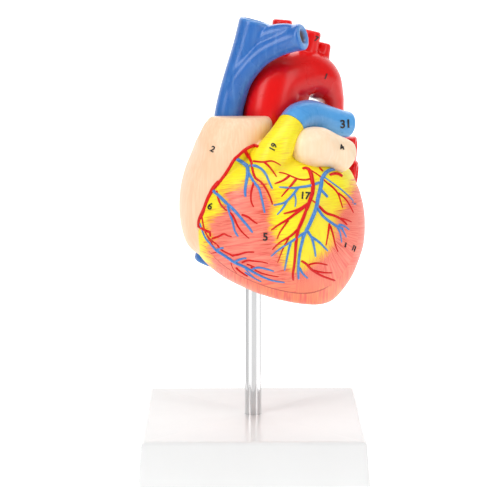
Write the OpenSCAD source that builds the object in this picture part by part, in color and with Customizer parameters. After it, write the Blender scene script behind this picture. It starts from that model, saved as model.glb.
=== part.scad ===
// Life-size human heart anatomy model in two parts, on a rod and a flat base.
// X runs to the viewer's right, Y away from the viewer and Z up. Millimetres.
// The origin is the middle of the base's underside, at the level of its feet.

/* [Base] */
// Width of the base along X
base_w = 120; // [110:1:140]
// Depth of the base along Y
base_d = 120; // [110:1:140]
// Height of the base's top face above the table
base_h = 24; // [18:0.5:32]
// Wall of the moulded base
base_wall = 2.6; // [2:0.1:4]
// How far each side leans in between the bottom and the top
base_draft = 1.9; // [0.5:0.1:3]
// Radius of the rounded edges
base_edge_r = 2.4; // [1:0.1:3]
// Diameter of a rubber foot
foot_d = 11; // [8:0.5:12]
// Thickness of a rubber foot
foot_t = 1.8; // [1.2:0.1:3]
// How far a foot stands out below the base's rim
foot_proud = 0.6; // [0.3:0.1:1]
// How far a foot's edge lies inside the base's wall
foot_inset = 4; // [3:0.5:8]
// Wall of the boss that holds the rod
boss_wall = 3.5; // [2.5:0.1:4.5]

/* [Rod] */
// Outside diameter of the metal rod
rod_d = 9; // [8:0.1:10]
// Wall of the rod's tube
rod_wall = 1; // [0.6:0.1:2]
// Length of rod seen between the base and the heart's lowest point
rod_show = 62; // [50:1:90]
// Length of rod held inside the heart
rod_grip = 36; // [26:1:38]
// Wall of the bush in the heart
bush_wall = 2; // [1.6:0.1:2.2]
// Radial running clearance between the rod and its sockets
rod_fit = 0.05; // [0.02:0.01:0.1]

/* [Seam] */
// Where the seam between the halves crosses the middle of the heart along Y
seam_y = -20.5; // [-22:0.5:-19]
// Lean of the seam away from the vertical, in degrees
seam_lean = 8.5; // [7:0.5:9]
// Turn of the seam's lower edge, as millimetres along Y for each millimetre along X
seam_turn = 0.18; // [0.12:0.02:0.2]
// Gap between the two halves
seam_gap = 0.3; // [0.2:0.05:0.5]
// Gap of the glued joints between the moulded pieces
glue_gap = 0.3; // [0.2:0.05:0.5]
// Diameter of a magnet
magnet_d = 6; // [5:0.5:7]
// Thickness of a magnet
magnet_t = 2.5; // [2:0.1:4]
// Diameter of a locating pin
pin_d = 4; // [3:0.1:5]
// Length of a pin in each half
pin_l = 5; // [4:0.1:6]
// Radial clearance round a locating pin
pin_fit = 0.3; // [0.2:0.05:0.5]

/* [Vessels] */
// Diameter of the ascending aorta
aorta_d = 28; // [26:0.2:28.4]
// Diameter of the brachiocephalic trunk
brachiocephalic_d = 10.4; // [8:0.2:11]
// Diameter of the left common carotid artery
carotid_d = 8.2; // [6:0.2:9]
// Diameter of the left subclavian artery
subclavian_d = 7.4; // [6:0.2:8]
// Diameter of the superior vena cava
vena_cava_d = 15; // [13:0.2:15.6]
// Diameter of the left brachiocephalic vein
brachiocephalic_vein_d = 13.4; // [12:0.2:14]
// Diameter of the inferior vena cava
inferior_cava_d = 18; // [15:0.5:19]
// Diameter of the pulmonary trunk at its top
trunk_d = 15.4; // [14.4:0.2:15.8]
// Diameter of a pulmonary artery
pulmonary_d = 14.4; // [13:0.2:15]
// Diameter of a pulmonary vein
pulmonary_vein_d = 11; // [9:0.2:12]
// Wall of a vessel at its open end
vessel_wall = 3; // [2:0.1:3.2]
// Depth of the hole in a vessel's open end
vessel_bore = 9; // [5:0.5:12]

/* [Valves] */
// Thickness of a valve leaflet
leaflet_t = 0.9; // [0.7:0.1:1.2]
// Diameter of a tendinous cord
chorda_d = 1; // [0.8:0.1:1.4]
// Diameter of a main coronary vessel in relief on the wall
coronary_d = 2.8; // [2.2:0.1:3.2]
// Radius of the opening between the right atrium and the right ventricle
tricuspid_r = 8; // [7:0.2:8.4]
// Radius of the opening between the left atrium and the left ventricle
mitral_r = 8.6; // [7.6:0.2:9]
// Radius of the opening into the aorta
aortic_r = 9.4; // [8.4:0.2:9.8]
// Gap round the ring of a valve
valve_gap = 0.5; // [0.4:0.05:0.7]

/* [Hidden] */

heart_z = base_h + rod_show;
seam_mid_z = 44;
seam_turn_x = 25.5;
rod_r = rod_d / 2;
rod_floor = 2.4;
rod_bottom = foot_proud + rod_floor;
rod_top = heart_z + rod_grip;
bush_r = rod_r + rod_fit + bush_wall;
bush_cap = 2.5;
bush_mouth = 10;
trunk_wall = 2;
lumen_r = trunk_d / 2 - trunk_wall;
post_wall = 1.6;
foot_recess_gap = 0.1;
rib_w = 2;
rib_rise = 6;
vein_route = 2;
cut_size = 260;
true_fn = 64;
yellow = "#f6e52c";
peach = "#f6cfae";
muscle = "#f27c66";
red = "#dd1420";
blue = "#3f7fd0";
cream = "#f3ead2";
steel = "#c9ccd0";

// Horizontal sections of the solid forms: [height above the heart's lowest level,
// left x, right x, front y, back y]. Each section is an ellipse between those limits.
ventricle_sections = [
    [0.5, 29, 36, -13, -5], [1.2, 23, 39.8, -16, -1], [2.6, 15, 42.8, -19, 5],
    [5, 5.5, 45.6, -22, 11], [9, -5, 49, -25.6, 17], [15, -16.5, 52.8, -30.6, 22.5],
    [23, -26, 56, -36, 27.5], [32, -31.5, 58, -40, 31], [41, -33.4, 58.6, -42.3, 33.5],
    [50, -34, 58.2, -42, 34.5], [59, -32.4, 56.2, -40, 35], [65, -29.6, 52.6, -37.8, 34.6],
    [71, -26, 47.5, -34.5, 33], [77, -21.4, 41, -31.4, 29], [83, -14, 33, -27.4, 23],
    [87, -4, 26, -22.6, 16], [88.6, 4, 21, -17, 10]
];
atrium_lower_sections = [
    [20, -27, -21, -8, 0], [22, -30.5, -16, -12.5, 6], [26, -33.3, -12, -17, 14],
    [33, -36.3, -9, -20.5, 21], [42, -38.6, -7, -23, 26.5], [52, -39.4, -5, -24.5, 30],
    [62, -38.6, -2, -25, 32], [72, -36, 2, -25, 33], [82, -32, 6, -24, 33]
];
// The front half's atrium ends in a flat top, the rear half's in a dome.
front_atrium_sections = concat(atrium_lower_sections, [
    [90, -27.8, 12.4, -23, 31], [96, -23.8, 15, -22, 29], [99.4, -21.8, 14, -21, 26],
    [100.8, -21, 12, -20.2, 24]
]);
rear_atrium_sections = concat(atrium_lower_sections, [
    [89, -28, 8, -29, 27], [94, -24, 4, -24, 20], [97, -18, -2, -16, 13], [98, -14, -6, -8, 6]
]);
right_chamber_sections = [
    [16, 9, 15, -25.5, -20], [20, 3, 17, -28, -14.5], [26, -6, 17, -31, -11.2],
    [34, -14, 15.5, -34, -10], [44, -18.6, 13, -36.2, -9.2], [54, -17.5, 12, -36, -9.2],
    [62, -13, 12, -34, -10], [70, -5, 13, -31.5, -13], [76, 1, 13, -29.5, -18]
];
left_chamber_sections = [
    [12, 33, 38, -12, -5], [17, 29, 43, -19, 1], [26, 25, 46.5, -26, 9],
    [36, 23, 47.5, -29, 15], [46, 22, 46.5, -28, 20], [56, 20, 43, -24, 22],
    [64, 19, 39, -17, 23], [70, 20, 34, -9, 21], [74, 22, 30, 0, 17]
];
atrium_chamber_sections = [
    [34, -29, -22, -10, 4], [40, -33, -18.5, -17, 11], [50, -35.4, -16.8, -20, 17],
    [60, -35.4, -15.6, -21.4, 20], [72, -31.6, -13.5, -20.6, 20], [82, -26.6, -10.6, -18, 14],
    [89, -21.4, -10, -16.4, 9], [93, -18, -12, -13, 1]
];

// Runs of the vessels: [x, y, height, share of the vessel's own radius].
aorta_run = [
    [9.6, 3, 78, 0.93], [9, 2.6, 91, 0.97], [9.6, 2.6, 104, 1], [13, 5, 115.6, 1.02],
    [21.3, 9.4, 119.8, 0.96], [30.3, 14, 119.6, 0.9], [37.8, 19, 115, 0.72],
    [42.2, 24, 107.4, 0.48], [43.5, 28, 99.6, 0.42], [44.3, 30, 88, 0.4]
];
brachiocephalic_run = [[13, 8, 122, 1.15], [14.6, 9, 138, 1], [15.8, 9.6, 150.3, 1]];
carotid_run = [[26, 13, 124, 1.2], [30, 13.6, 136, 1], [32.6, 14, 143.6, 1]];
subclavian_run = [[33, 19, 118, 1.2], [37, 20, 130.5, 1], [39.2, 20.4, 137.2, 1]];
cava_run = [
    [-13.6, -3.6, 90, 1.02], [-13, -3.6, 100, 1], [-10.6, -3.6, 112, 0.97],
    [-7, -3.6, 124, 1], [-3, -3.6, 136, 1.04], [0.6, -3.6, 150.4, 1.04]
];
brachiocephalic_vein_run = [
    [-10.8, -4, 108, 0.98], [-6.4, -6, 121, 1], [2, -8, 131.4, 1], [12, -10.5, 137.4, 1],
    [26.4, -14.4, 141.4, 1]
];
inferior_cava_run = [[-20, 18, 42, 1], [-22.6, 22, 31, 1], [-24.4, 23.6, 21.5, 0.98]];
trunk_run = [
    [4, -19, 66, 1.5], [7, -23.2, 77, 1.42], [9.6, -25.6, 86, 1.24],
    [13.8, -23, 92, 1.09], [18.2, -17.6, 96.7, 1]
];
left_artery_run = [
    [18.2, -17.6, 96.7, 1.05], [22.6, -11.8, 100.2, 1.08], [29.6, -4.6, 101, 1.06],
    [38, 2, 98, 1], [46, 7, 95, 0.98], [52.4, 11, 93.2, 0.96]
];
right_artery_run = [
    [29, -2, 100, 0.9], [31, 10, 99, 0.84], [26, 21, 98.6, 0.84], [12, 26.4, 98.6, 0.84],
    [-4, 27.4, 98.6, 0.84], [-17, 25.4, 98, 0.84]
];
trunk_lumen_run = [
    [3, -19.6, 66, 1.5], [6.8, -23.2, 77, 1.42], [9.6, -25.4, 86, 1.2], [13.8, -23, 92, 1.04],
    [18.2, -17.6, 96.7, 1]
];
auricle_run = [
    [21.2, -15.5, 84.6, 3], [23, -16.8, 85, 7.2], [28, -18, 85.6, 9.8], [34.6, -18, 85, 10.2],
    [40.6, -16, 83, 9.8], [45.4, -13.4, 81, 8.4], [48.8, -11.4, 80, 5]
];
auricle_neck_run = [[33, -14, 82, 8], [37, -2, 80, 9], [36, 12, 78, 9], [30, 22, 77, 10]];
left_atrium_run = [
    [-17, 33, 76, 3], [-14.5, 33, 76, 9], [-7, 33.4, 76, 13], [5, 34, 76.4, 14.8],
    [18, 33.4, 76.4, 15], [29, 30.6, 76, 13], [36, 28, 75, 8.8], [38, 27.4, 75, 3]
];
left_atrium_chamber_run = [
    [2, 30, 76, 3], [6, 30, 76.4, 9], [15, 30, 76.4, 10.5], [24, 28, 76, 9], [29, 27, 76, 3]
];
upper_left_vein_run = [[31, 30, 81, 1.1], [42, 29, 79.5, 1], [55.4, 26.6, 78.2, 1]];
lower_left_vein_run = [[31, 31, 69, 1.1], [42, 31.6, 65.4, 1], [56, 29.6, 63.6, 1]];
upper_right_vein_run = [[-9, 36, 80.4, 1], [-17, 37.6, 80.4, 1], [-24, 38.4, 79.6, 1]];
lower_right_vein_run = [[-9, 36, 68, 1], [-18, 38.6, 67, 1], [-28, 39.4, 66, 1]];

// The openings between the chambers. Each valve hangs in the middle row of its own.
tricuspid_run = [[-26, -2, 55, 1], [-16, -8.6, 52.8, 1], [-4, -17, 50, 1]];
mitral_run = [[18, 27, 75, 1], [22, 19.6, 69.4, 1], [29, 4, 58, 1]];
aortic_run = [[27, -1, 62, 0.95], [17, 1, 72, 1], [10.6, 2.6, 84, 1], [9.6, 2.6, 98, 1]];

// Main coronary vessels of the front, as [x, height] on the surface, from thick to thin.
coronary_routes = [
    [[2.6, 85], [-4.6, 84], [-9.8, 79.6], [-16, 69.6], [-21, 64], [-26, 53], [-28.6, 42], [-28.8, 36]],
    [[25, 75.6], [29, 73], [30.4, 67], [28.6, 59], [24.8, 49], [22, 38], [21, 26], [20.4, 18]],
    [
        [46, 71], [41, 77], [36, 74.6], [34.4, 67], [32.2, 56.6], [28, 46.6], [24.6, 36],
        [23, 24], [23.4, 18]
    ],
    [[-28, 47], [-25, 38], [-19.6, 32], [-10, 26], [2.6, 20.6], [16, 17]],
    [[-4.6, 84], [-1, 78], [1, 71], [7, 65], [9.8, 58]],
    [[-21.4, 63], [-13.6, 56], [-6, 49], [-0.6, 42.6]],
    [[28.6, 59], [20, 54], [15, 52.6]],
    [[32.8, 56], [39, 49], [46.4, 45.6]]
];

// Places on the seam where the magnets and the pins sit: [x, height].
magnet_places = [[47.6, 48], [18.6, 50], [0, 88]];
pin_places = [[22.6, 28], [29, 73]];

// ---- Shapes worked out from sections and runs ----

function clamp01(t) = min(1, max(0, t));
function section_index(rows, z, i = 0) =
    i >= len(rows) - 2 || z <= rows[i + 1][0] ? i : section_index(rows, z, i + 1);
// Slope of a column at row k with respect to height.
function slope(rows, k) =
    let (a = max(0, k - 1), b = min(len(rows) - 1, k + 1))
    (rows[b] - rows[a]) / (rows[b][0] - rows[a][0]);
// The section at height z, by a cubic that passes smoothly through the given rows.
function section_at(rows, z) =
    let (
        k = section_index(rows, z),
        h = rows[k + 1][0] - rows[k][0],
        t = clamp01((z - rows[k][0]) / h)
    )
    rows[k] * (2 * t * t * t - 3 * t * t + 1) + slope(rows, k) * h * (t * t * t - 2 * t * t + t)
    + rows[k + 1] * (3 * t * t - 2 * t * t * t) + slope(rows, k + 1) * h * (t * t * t - t * t);
// Heights for the rings: every given row, and steps between rows no taller than step.
function ring_heights(rows, step) = [
    for (k = [0:len(rows) - 2])
        let (n = max(1, ceil((rows[k + 1][0] - rows[k][0]) / step)))
        for (i = [0:n - 1]) rows[k][0] + (rows[k + 1][0] - rows[k][0]) * i / n,
    rows[len(rows) - 1][0]
];
function ring_points(s, z, sides, grow) =
    let (
        cx = (s[1] + s[2]) / 2, a = (s[2] - s[1]) / 2 + grow,
        cy = (s[3] + s[4]) / 2, b = (s[4] - s[3]) / 2 + grow
    )
    [for (j = [0:sides - 1]) let (w = 360 * j / sides) [cx + a * cos(w), cy + b * sin(w), z]];
// Side faces between rings of equal count, with a flat face at each end.
function ring_faces(rings, sides) = concat(
    [[for (j = [0:sides - 1]) j]],
    [
        for (i = [0:rings - 2]) for (j = [0:sides - 1])
            let (k = (j + 1) % sides, p = i * sides, q = p + sides)
            each [[p + j, q + j, q + k], [p + j, q + k, p + k]]
    ],
    [[for (j = [sides - 1:-1:0]) (rings - 1) * sides + j]]
);

// A rounded form stacked from horizontal sections.
module stacked(rows, step = 5, sides = 32, grow = 0) {
    heights = ring_heights(rows, step);
    last = len(heights) - 1;
    points = [
        for (i = [0:last])
            let (z = heights[i] + (i == 0 ? -grow : i == last ? grow : 0))
            each ring_points(section_at(rows, heights[i]), z, sides, grow)
    ];
    translate([0, 0, heart_z]) polyhedron(points, ring_faces(last + 1, sides), convexity = 6);
}

// A point on a run at u, where whole numbers are the run's own rows.
function run_at(rows, u) =
    let (
        n = len(rows) - 1, k = min(n - 1, floor(u)), t = u - k,
        p0 = rows[max(0, k - 1)], p1 = rows[k], p2 = rows[k + 1], p3 = rows[min(n, k + 2)]
    )
    0.5 * (2 * p1 + (p2 - p0) * t + (2 * p0 - 5 * p1 + 4 * p2 - p3) * t * t
        + (3 * p1 - p0 - 3 * p2 + p3) * t * t * t);
// The front surface's place along Y over a given x and height.
function face_y(rows, x, z) =
    let (s = section_at(rows, z), cx = (s[1] + s[2]) / 2, a = (s[2] - s[1]) / 2, e = (x - cx) / a)
    abs(e) >= 1 || z < rows[0][0] || z > rows[len(rows) - 1][0] ? 99
        : (s[3] + s[4]) / 2 - (s[4] - s[3]) / 2 * sqrt(1 - e * e);
function front_y(x, z) =
    min(face_y(ventricle_sections, x, z), face_y(front_atrium_sections, x, z));
function on_front(route) = [
    for (k = [0:len(route) - 1])
        let (x = route[k][0], z = route[k][1])
        [x, front_y(x, z) + 0.2, z, 1 - 0.5 * k / (len(route) - 1)]
];
function place(p) = [p[0], p[1], p[2]];
function unit(v) = v / norm(v);
// Turns a side vector along a run without twist.
function carried(side, along) = unit(side - along * (side * along));
function sides_along(tangents, i, side) =
    i >= len(tangents) ? [] :
    let (s = carried(side, tangents[i])) concat([s], sides_along(tangents, i + 1, s));

// A tube of varying radius along a run. radius is the vessel's own radius.
module tube(rows, radius, per_row = 3, sides = 16, grow = 0, ends = 0) {
    steps = (len(rows) - 1) * per_row;
    line = [for (i = [0:steps]) run_at(rows, i / per_row)];
    centres = [for (p = line) place(p)];
    tangents = [
        for (i = [0:steps]) unit(centres[min(steps, i + 1)] - centres[max(0, i - 1)])
    ];
    start = abs(tangents[0][1]) > 0.8 ? [1, 0, 0] : [0, 1, 0];
    side = sides_along(tangents, 0, start);
    points = [
        for (i = [0:steps])
            let (
                r = line[i][3] * radius + grow, s = side[i], c = cross(tangents[i], s),
                shift = i == 0 ? -ends : i == steps ? ends : 0,
                middle = centres[i] + tangents[i] * shift
            )
            for (j = [0:sides - 1])
                let (w = 360 * j / sides) middle + r * (cos(w) * s + sin(w) * c)
    ];
    translate([0, 0, heart_z]) polyhedron(points, ring_faces(steps + 1, sides), convexity = 6);
}

// The round hole in a vessel's open end.
module end_bore(rows, d, from_start = false) {
    n = len(rows) - 1;
    tip = place(rows[from_start ? 0 : n]);
    back = place(rows[from_start ? 1 : n - 1]);
    share = rows[from_start ? 0 : n][3];
    along = unit(tip - back);
    translate(tip + [0, 0, heart_z])
        rotate([0, acos(along[2]), atan2(along[1], along[0])])
            translate([0, 0, -vessel_bore])
                cylinder(h = vessel_bore + 6, r = share * d / 2 - vessel_wall, $fn = true_fn);
}

// The seam leans back toward the top, and below its middle it also turns forward at
// the left, as the front half's lower edge does.
function seam_y_at(x, z) =
    seam_y + tan(seam_lean) * (z - seam_mid_z)
    + seam_turn * (x - seam_turn_x) * max(0, seam_mid_z - z) / seam_mid_z;
// Everything on one side of the seam: side -1 is the front, 1 the rear.
module half_space(side, gap = seam_gap / 2) {
    xs = [-90, -36, -18, 0, 18, 36, 90];
    zs = [-cut_size, -10, 0, 9, 18, 27, 35, seam_mid_z, cut_size];
    n = len(xs);
    m = len(zs);
    near = [for (z = zs) for (x = xs) [x, seam_y_at(x, max(z, -10)) + side * gap, z]];
    far = [for (z = zs) for (x = xs) [x, side * cut_size, z]];
    sheet = [
        for (i = [0:m - 2]) for (j = [0:n - 2])
            let (p = i * n + j) each [[p, p + n + 1, p + 1], [p, p + n, p + n + 1]]
    ];
    edge = concat(
        [for (j = [0:n - 1]) j], [for (i = [1:m - 1]) i * n + n - 1],
        [for (j = [n - 2:-1:0]) (m - 1) * n + j], [for (i = [m - 2:-1:1]) i * n]
    );
    back = m * n;
    rim = [
        for (k = [0:len(edge) - 1])
            let (a = edge[k], b = edge[(k + 1) % len(edge)])
            each [[a, b, b + back], [a, b + back, a + back]]
    ];
    faces = concat(sheet, [for (f = sheet) [f[0], f[2], f[1]] + [back, back, back]], rim);
    translate([0, 0, heart_z])
        polyhedron(concat(near, far), side < 0 ? [for (f = faces) [f[0], f[2], f[1]]] : faces);
}

// One closed skin from the forms inside it.
module skin() {
    resize([0, 0, 0]) union() children();
}

// ---- The forms that the two halves share ----

module ventricles(grow = 0) stacked(ventricle_sections, 8, 34, grow);
module front_atrium(grow = 0) stacked(front_atrium_sections, 12, 26, grow);
module rear_atrium(grow = 0) stacked(rear_atrium_sections, 12, 26, grow);
module right_chamber(grow = 0) stacked(right_chamber_sections, 12, 20, grow);
module left_chamber(grow = 0) stacked(left_chamber_sections, 12, 20, grow);
module atrium_chamber(grow = 0) stacked(atrium_chamber_sections, 14, 16, grow);
module tricuspid_passage() tube(tricuspid_run, tricuspid_r, 1, 18);
module mitral_passage() tube(mitral_run, mitral_r, 1, 18);
module aortic_passage() tube(aortic_run, aortic_r, 2, 20);
module trunk_lumen(ends = 0) tube(trunk_lumen_run, lumen_r, 2, 16, 0, ends);
module left_atrium_chamber() tube(left_atrium_chamber_run, 1, 2, 16);

module at_seam(places) {
    for (p = places)
        translate([p[0], seam_y_at(p[0], p[1]), heart_z + p[1]]) children();
}
// Magnet discs, or their pockets when there is a clearance. They lie flush with the seam.
module magnet_discs(side, clearance = 0) {
    depth = magnet_t + clearance;
    reach = clearance > 0 ? seam_gap : 0;
    at_seam(magnet_places)
        rotate([90 - seam_lean, 0, 0])
            translate([0, 0, side < 0 ? seam_gap / 2 - reach : -seam_gap / 2 - depth])
                cylinder(h = depth + reach, r = magnet_d / 2 + clearance, $fn = true_fn);
}
module pin_rods(length_front, length_rear, radius) {
    at_seam(pin_places)
        rotate([90, 0, 0])
            translate([0, 0, -length_rear])
                cylinder(h = length_front + length_rear, r = radius, $fn = true_fn);
}

// ---- Stand ----

module base_block(w, d, h, draft, r) {
    // Four leaning sides with rounded upright edges, and a rounded rim on top.
    hull() {
        for (x = [-1, 1]) for (y = [-1, 1]) {
            translate([x * (w / 2 - r), y * (d / 2 - r), 0]) cylinder(h = 0.01, r = r, $fn = 20);
            translate([x * (w / 2 - draft - r), y * (d / 2 - draft - r), h - r])
                sphere(r = r, $fn = 20);
        }
    }
}

module foot_places() {
    inset = base_wall + foot_d / 2 + foot_inset;
    for (x = [-1, 1]) for (y = [-1, 1])
        translate([x * (base_w / 2 - inset), y * (base_d / 2 - inset), 0]) children();
}

module base() {
    boss_r = rod_r + rod_fit + boss_wall;
    post_r = foot_d / 2 + post_wall;
    color("white") difference() {
        translate([0, 0, foot_proud])
            base_block(base_w, base_d, base_h - foot_proud, base_draft, base_edge_r);
        difference() {
            translate([0, 0, foot_proud - 0.01])
                base_block(
                    base_w - 2 * base_wall, base_d - 2 * base_wall,
                    base_h - foot_proud - base_wall, base_draft, base_edge_r
                );
            // Boss for the rod, posts for the feet and ribs between them.
            cylinder(h = base_h, r = boss_r, $fn = true_fn);
            foot_places() cylinder(h = base_h, r = post_r, $fn = true_fn);
            for (a = [0, 90]) rotate([0, 0, a])
                translate([-base_w / 2, -rib_w / 2, foot_proud + rib_rise])
                    cube([base_w, rib_w, base_h]);
        }
        translate([0, 0, rod_bottom]) cylinder(h = base_h, r = rod_r + rod_fit, $fn = true_fn);
        foot_places() cylinder(h = foot_t, r = foot_d / 2 + foot_recess_gap, $fn = true_fn);
    }
}

module rubber_feet() {
    color("dimgray") foot_places() cylinder(h = foot_t, r = foot_d / 2, $fn = true_fn);
}

module support_rod() {
    color(steel) translate([0, 0, rod_bottom]) difference() {
        cylinder(h = rod_top - rod_bottom, r = rod_r, $fn = true_fn);
        translate([0, 0, -1]) cylinder(h = rod_top, r = rod_r - rod_wall, $fn = true_fn);
    }
}

// ---- Rear half ----

module rear_wall() {
    color(muscle) difference() {
        skin() difference() {
            intersection() {
                union() {
                    ventricles();
                    rear_atrium();
                }
                half_space(1);
            }
            right_chamber();
            left_chamber();
            atrium_chamber();
            tricuspid_passage();
            mitral_passage();
            aortic_passage();
            left_atrium_chamber();
            tube(inferior_cava_run, inferior_cava_d / 2, 2, 18, glue_gap, 2);
        }
        translate([0, 0, heart_z - 5])
            cylinder(h = rod_grip + 5 + bush_cap + glue_gap, r = bush_r + glue_gap, $fn = true_fn);
        magnet_discs(1, glue_gap / 2);
        pin_rods(2, pin_l + glue_gap, pin_d / 2 + glue_gap / 2);
    }
}

module rod_bush() {
    color("gainsboro") difference() {
        translate([0, 0, heart_z + bush_mouth])
            cylinder(h = rod_grip - bush_mouth + bush_cap, r = bush_r, $fn = true_fn);
        translate([0, 0, heart_z])
            cylinder(h = rod_grip, r = rod_r + rod_fit, $fn = true_fn);
    }
}

module rear_magnets() color(steel) magnet_discs(1);

module locating_pins() color(cream) pin_rods(pin_l, pin_l, pin_d / 2);

module superior_vena_cava() {
    color(blue) difference() {
        skin() difference() {
            union() {
                tube(cava_run, vena_cava_d / 2, 2, 18);
                tube(brachiocephalic_vein_run, brachiocephalic_vein_d / 2, 2, 16);
            }
            rear_atrium(glue_gap);
        }
        end_bore(cava_run, vena_cava_d);
        end_bore(brachiocephalic_vein_run, brachiocephalic_vein_d);
        end_bore(cava_run, vena_cava_d, true);
    }
}

module inferior_vena_cava() {
    color(blue) difference() {
        skin() difference() {
            tube(inferior_cava_run, inferior_cava_d / 2, 2, 18);
            atrium_chamber();
        }
        end_bore(inferior_cava_run, inferior_cava_d);
    }
}

module aorta() {
    color(red) difference() {
        skin() difference() {
            union() {
                tube(aorta_run, aorta_d / 2, 2, 22);
                tube(brachiocephalic_run, brachiocephalic_d / 2, 2, 16);
                tube(carotid_run, carotid_d / 2, 2, 14);
                tube(subclavian_run, subclavian_d / 2, 2, 14);
            }
            ventricles(glue_gap);
            rear_atrium(glue_gap);
            aortic_passage();
        }
        end_bore(aorta_run, aorta_d);
        end_bore(brachiocephalic_run, brachiocephalic_d);
        end_bore(carotid_run, carotid_d);
        end_bore(subclavian_run, subclavian_d);
    }
}

module pulmonary_arteries() {
    color(blue) difference() {
        skin() difference() {
            union() {
                tube(left_artery_run, pulmonary_d / 2, 2, 20);
                tube(right_artery_run, pulmonary_d / 2, 2, 14);
            }
            // The trunk's end face, with the joint's gap.
            tube(trunk_run, trunk_d / 2, 2, 22, 4, seam_gap);
            tube(aorta_run, aorta_d / 2, 2, 22, glue_gap);
        }
        end_bore(left_artery_run, pulmonary_d);
        end_bore(right_artery_run, pulmonary_d);
        end_bore(left_artery_run, pulmonary_d, true);
    }
}

module left_atrium() {
    color(peach) skin() difference() {
        intersection() {
            union() {
                tube(left_atrium_run, 1, 2, 18);
                tube(auricle_run, 1, 2, 18);
                tube(auricle_neck_run, 1, 1, 16);
            }
            half_space(1);
        }
        ventricles(glue_gap);
        rear_atrium(glue_gap);
        left_atrium_chamber();
        tube(aorta_run, aorta_d / 2, 2, 22, glue_gap);
        left_veins(glue_gap);
        right_veins(glue_gap);
    }
}

module left_veins(grow = 0) {
    tube(upper_left_vein_run, pulmonary_vein_d / 2, 2, 14, grow);
    tube(lower_left_vein_run, pulmonary_vein_d / 2, 2, 14, grow);
}
module right_veins(grow = 0) {
    tube(upper_right_vein_run, pulmonary_vein_d / 2, 2, 14, grow);
    tube(lower_right_vein_run, pulmonary_vein_d / 2, 2, 14, grow);
}

module left_pulmonary_veins() {
    color(red) difference() {
        skin() difference() {
            left_veins();
            ventricles(glue_gap);
            left_atrium_chamber();
        }
        end_bore(upper_left_vein_run, pulmonary_vein_d);
        end_bore(lower_left_vein_run, pulmonary_vein_d);
    }
}

module right_pulmonary_veins() {
    color(red) difference() {
        skin() difference() {
            right_veins();
            rear_atrium(glue_gap);
            ventricles(glue_gap);
            left_atrium_chamber();
        }
        end_bore(upper_right_vein_run, pulmonary_vein_d);
        end_bore(lower_right_vein_run, pulmonary_vein_d);
    }
}

// ---- Valves and what holds them ----

// Faces between rows that close on themselves, as round a ring.
function closed_faces(rows, sides) = [
    for (i = [0:rows - 1]) for (j = [0:sides - 1])
        let (n = (i + 1) % rows, k = (j + 1) % sides, p = i * sides, q = n * sides)
        each [[p + j, q + j, q + k], [p + j, q + k, p + k]]
];
// A skirt of thin leaflets that hangs from a ring. Each leaflet reaches down_mid at its
// middle and down_side where it meets the next one, and narrows from ring_r to in_mid.
module leaflets(ring_r, count, down_mid, down_side, in_mid, in_side, collar = 2.5, turn = 0) {
    sides = 24;
    rows = [[-1, 0], [0, 0], [0.5, 0], [1, 0], [1, 1], [0.5, 1], [0, 1], [-1, 1]];
    points = [
        for (row = rows) for (j = [0:sides - 1])
            let (
                w = 360 * j / sides, share = pow(abs(sin(count * w / 2)), 0.7),
                down = down_side + (down_mid - down_side) * share,
                narrow = in_side + (in_mid - in_side) * share,
                s = max(0, row[0]), bow = sin(90 * s),
                r = ring_r + (narrow - ring_r) * s * s - row[1] * leaflet_t,
                z = row[0] < 0 ? -collar : down * bow
            )
            [r * cos(w + turn), r * sin(w + turn), z]
    ];
    polyhedron(points, closed_faces(len(rows), sides), convexity = 6);
}

// Stands what is drawn upward at row k of a run, along the run.
module on_run(rows, k) {
    at = place(rows[k]);
    along = unit(place(rows[min(len(rows) - 1, k + 1)]) - place(rows[max(0, k - 1)]));
    translate(at + [0, 0, heart_z])
        rotate([0, acos(along[2]), atan2(along[1], along[0])]) children();
}

// A papillary muscle: a blunt cone with cords that spread from its tip.
module papillary(foot, tip, foot_r, tip_r, ends) {
    middle = (foot + tip) / 2;
    tube([
        concat(foot, [foot_r]), concat(middle, [(foot_r + tip_r) * 0.56]), concat(tip, [tip_r])
    ], 1, 2, 10);
    for (e = ends)
        tube([concat(tip + (e - tip) * -0.1, [1]), concat(e, [1])], chorda_d / 2, 1, 6);
}

module tricuspid_valve() {
    color(cream) skin() intersection() {
        on_run(tricuspid_run, 1) leaflets(tricuspid_r - valve_gap, 3, 9, 3.5, 4.2, 6.6, 2.5, 30);
        half_space(1);
    }
}

module mitral_valve() {
    color(cream) on_run(mitral_run, 1) leaflets(mitral_r - valve_gap, 2, 12, 4.5, 4.4, 7, 2.5, 60);
}

module aortic_valve() {
    color(cream) on_run(aortic_run, 2) leaflets(aortic_r - valve_gap, 3, 6.5, 5.5, 3, 8.2, 2.5);
}

module pulmonary_valve() {
    color(cream) on_run(trunk_lumen_run, 3)
        leaflets(lumen_r - valve_gap - 0.2, 3, 4, 3.5, 2, 4.4, 2);
}

module right_papillary_muscles() {
    color(muscle) skin() difference() {
        union() {
            papillary([-1, -8, 24], [-6, -13.4, 38], 3.6, 1.8, [[-10, -12, 47], [-7.4, -15, 46]]);
            papillary(
                [9, -9.6, 26], [3, -14.6, 40], 3.4, 1.7, [[-3.4, -14.8, 47.6], [-2.6, -12.6, 49.6]]
            );
        }
        difference() {
            union() {
                ventricles(1);
                half_space(-1);
            }
            right_chamber(-glue_gap);
        }
    }
}

module left_papillary_muscles() {
    color(muscle) skin() difference() {
        union() {
            papillary([27, 10, 22], [29, 7, 40], 4.4, 2.4, [[27, 10.6, 52], [30.4, 8, 50.4]]);
            papillary([44, 0, 24], [39, 0.6, 42], 4.4, 2.4, [[34, 4.6, 52.6], [33, 1.8, 51]]);
        }
        difference() {
            ventricles(1);
            left_chamber(-glue_gap);
        }
    }
}

// ---- Front half ----

module coronary_relief() {
    for (route = coronary_routes) tube(on_front(route), coronary_d / 2, 1, 6);
}
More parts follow.
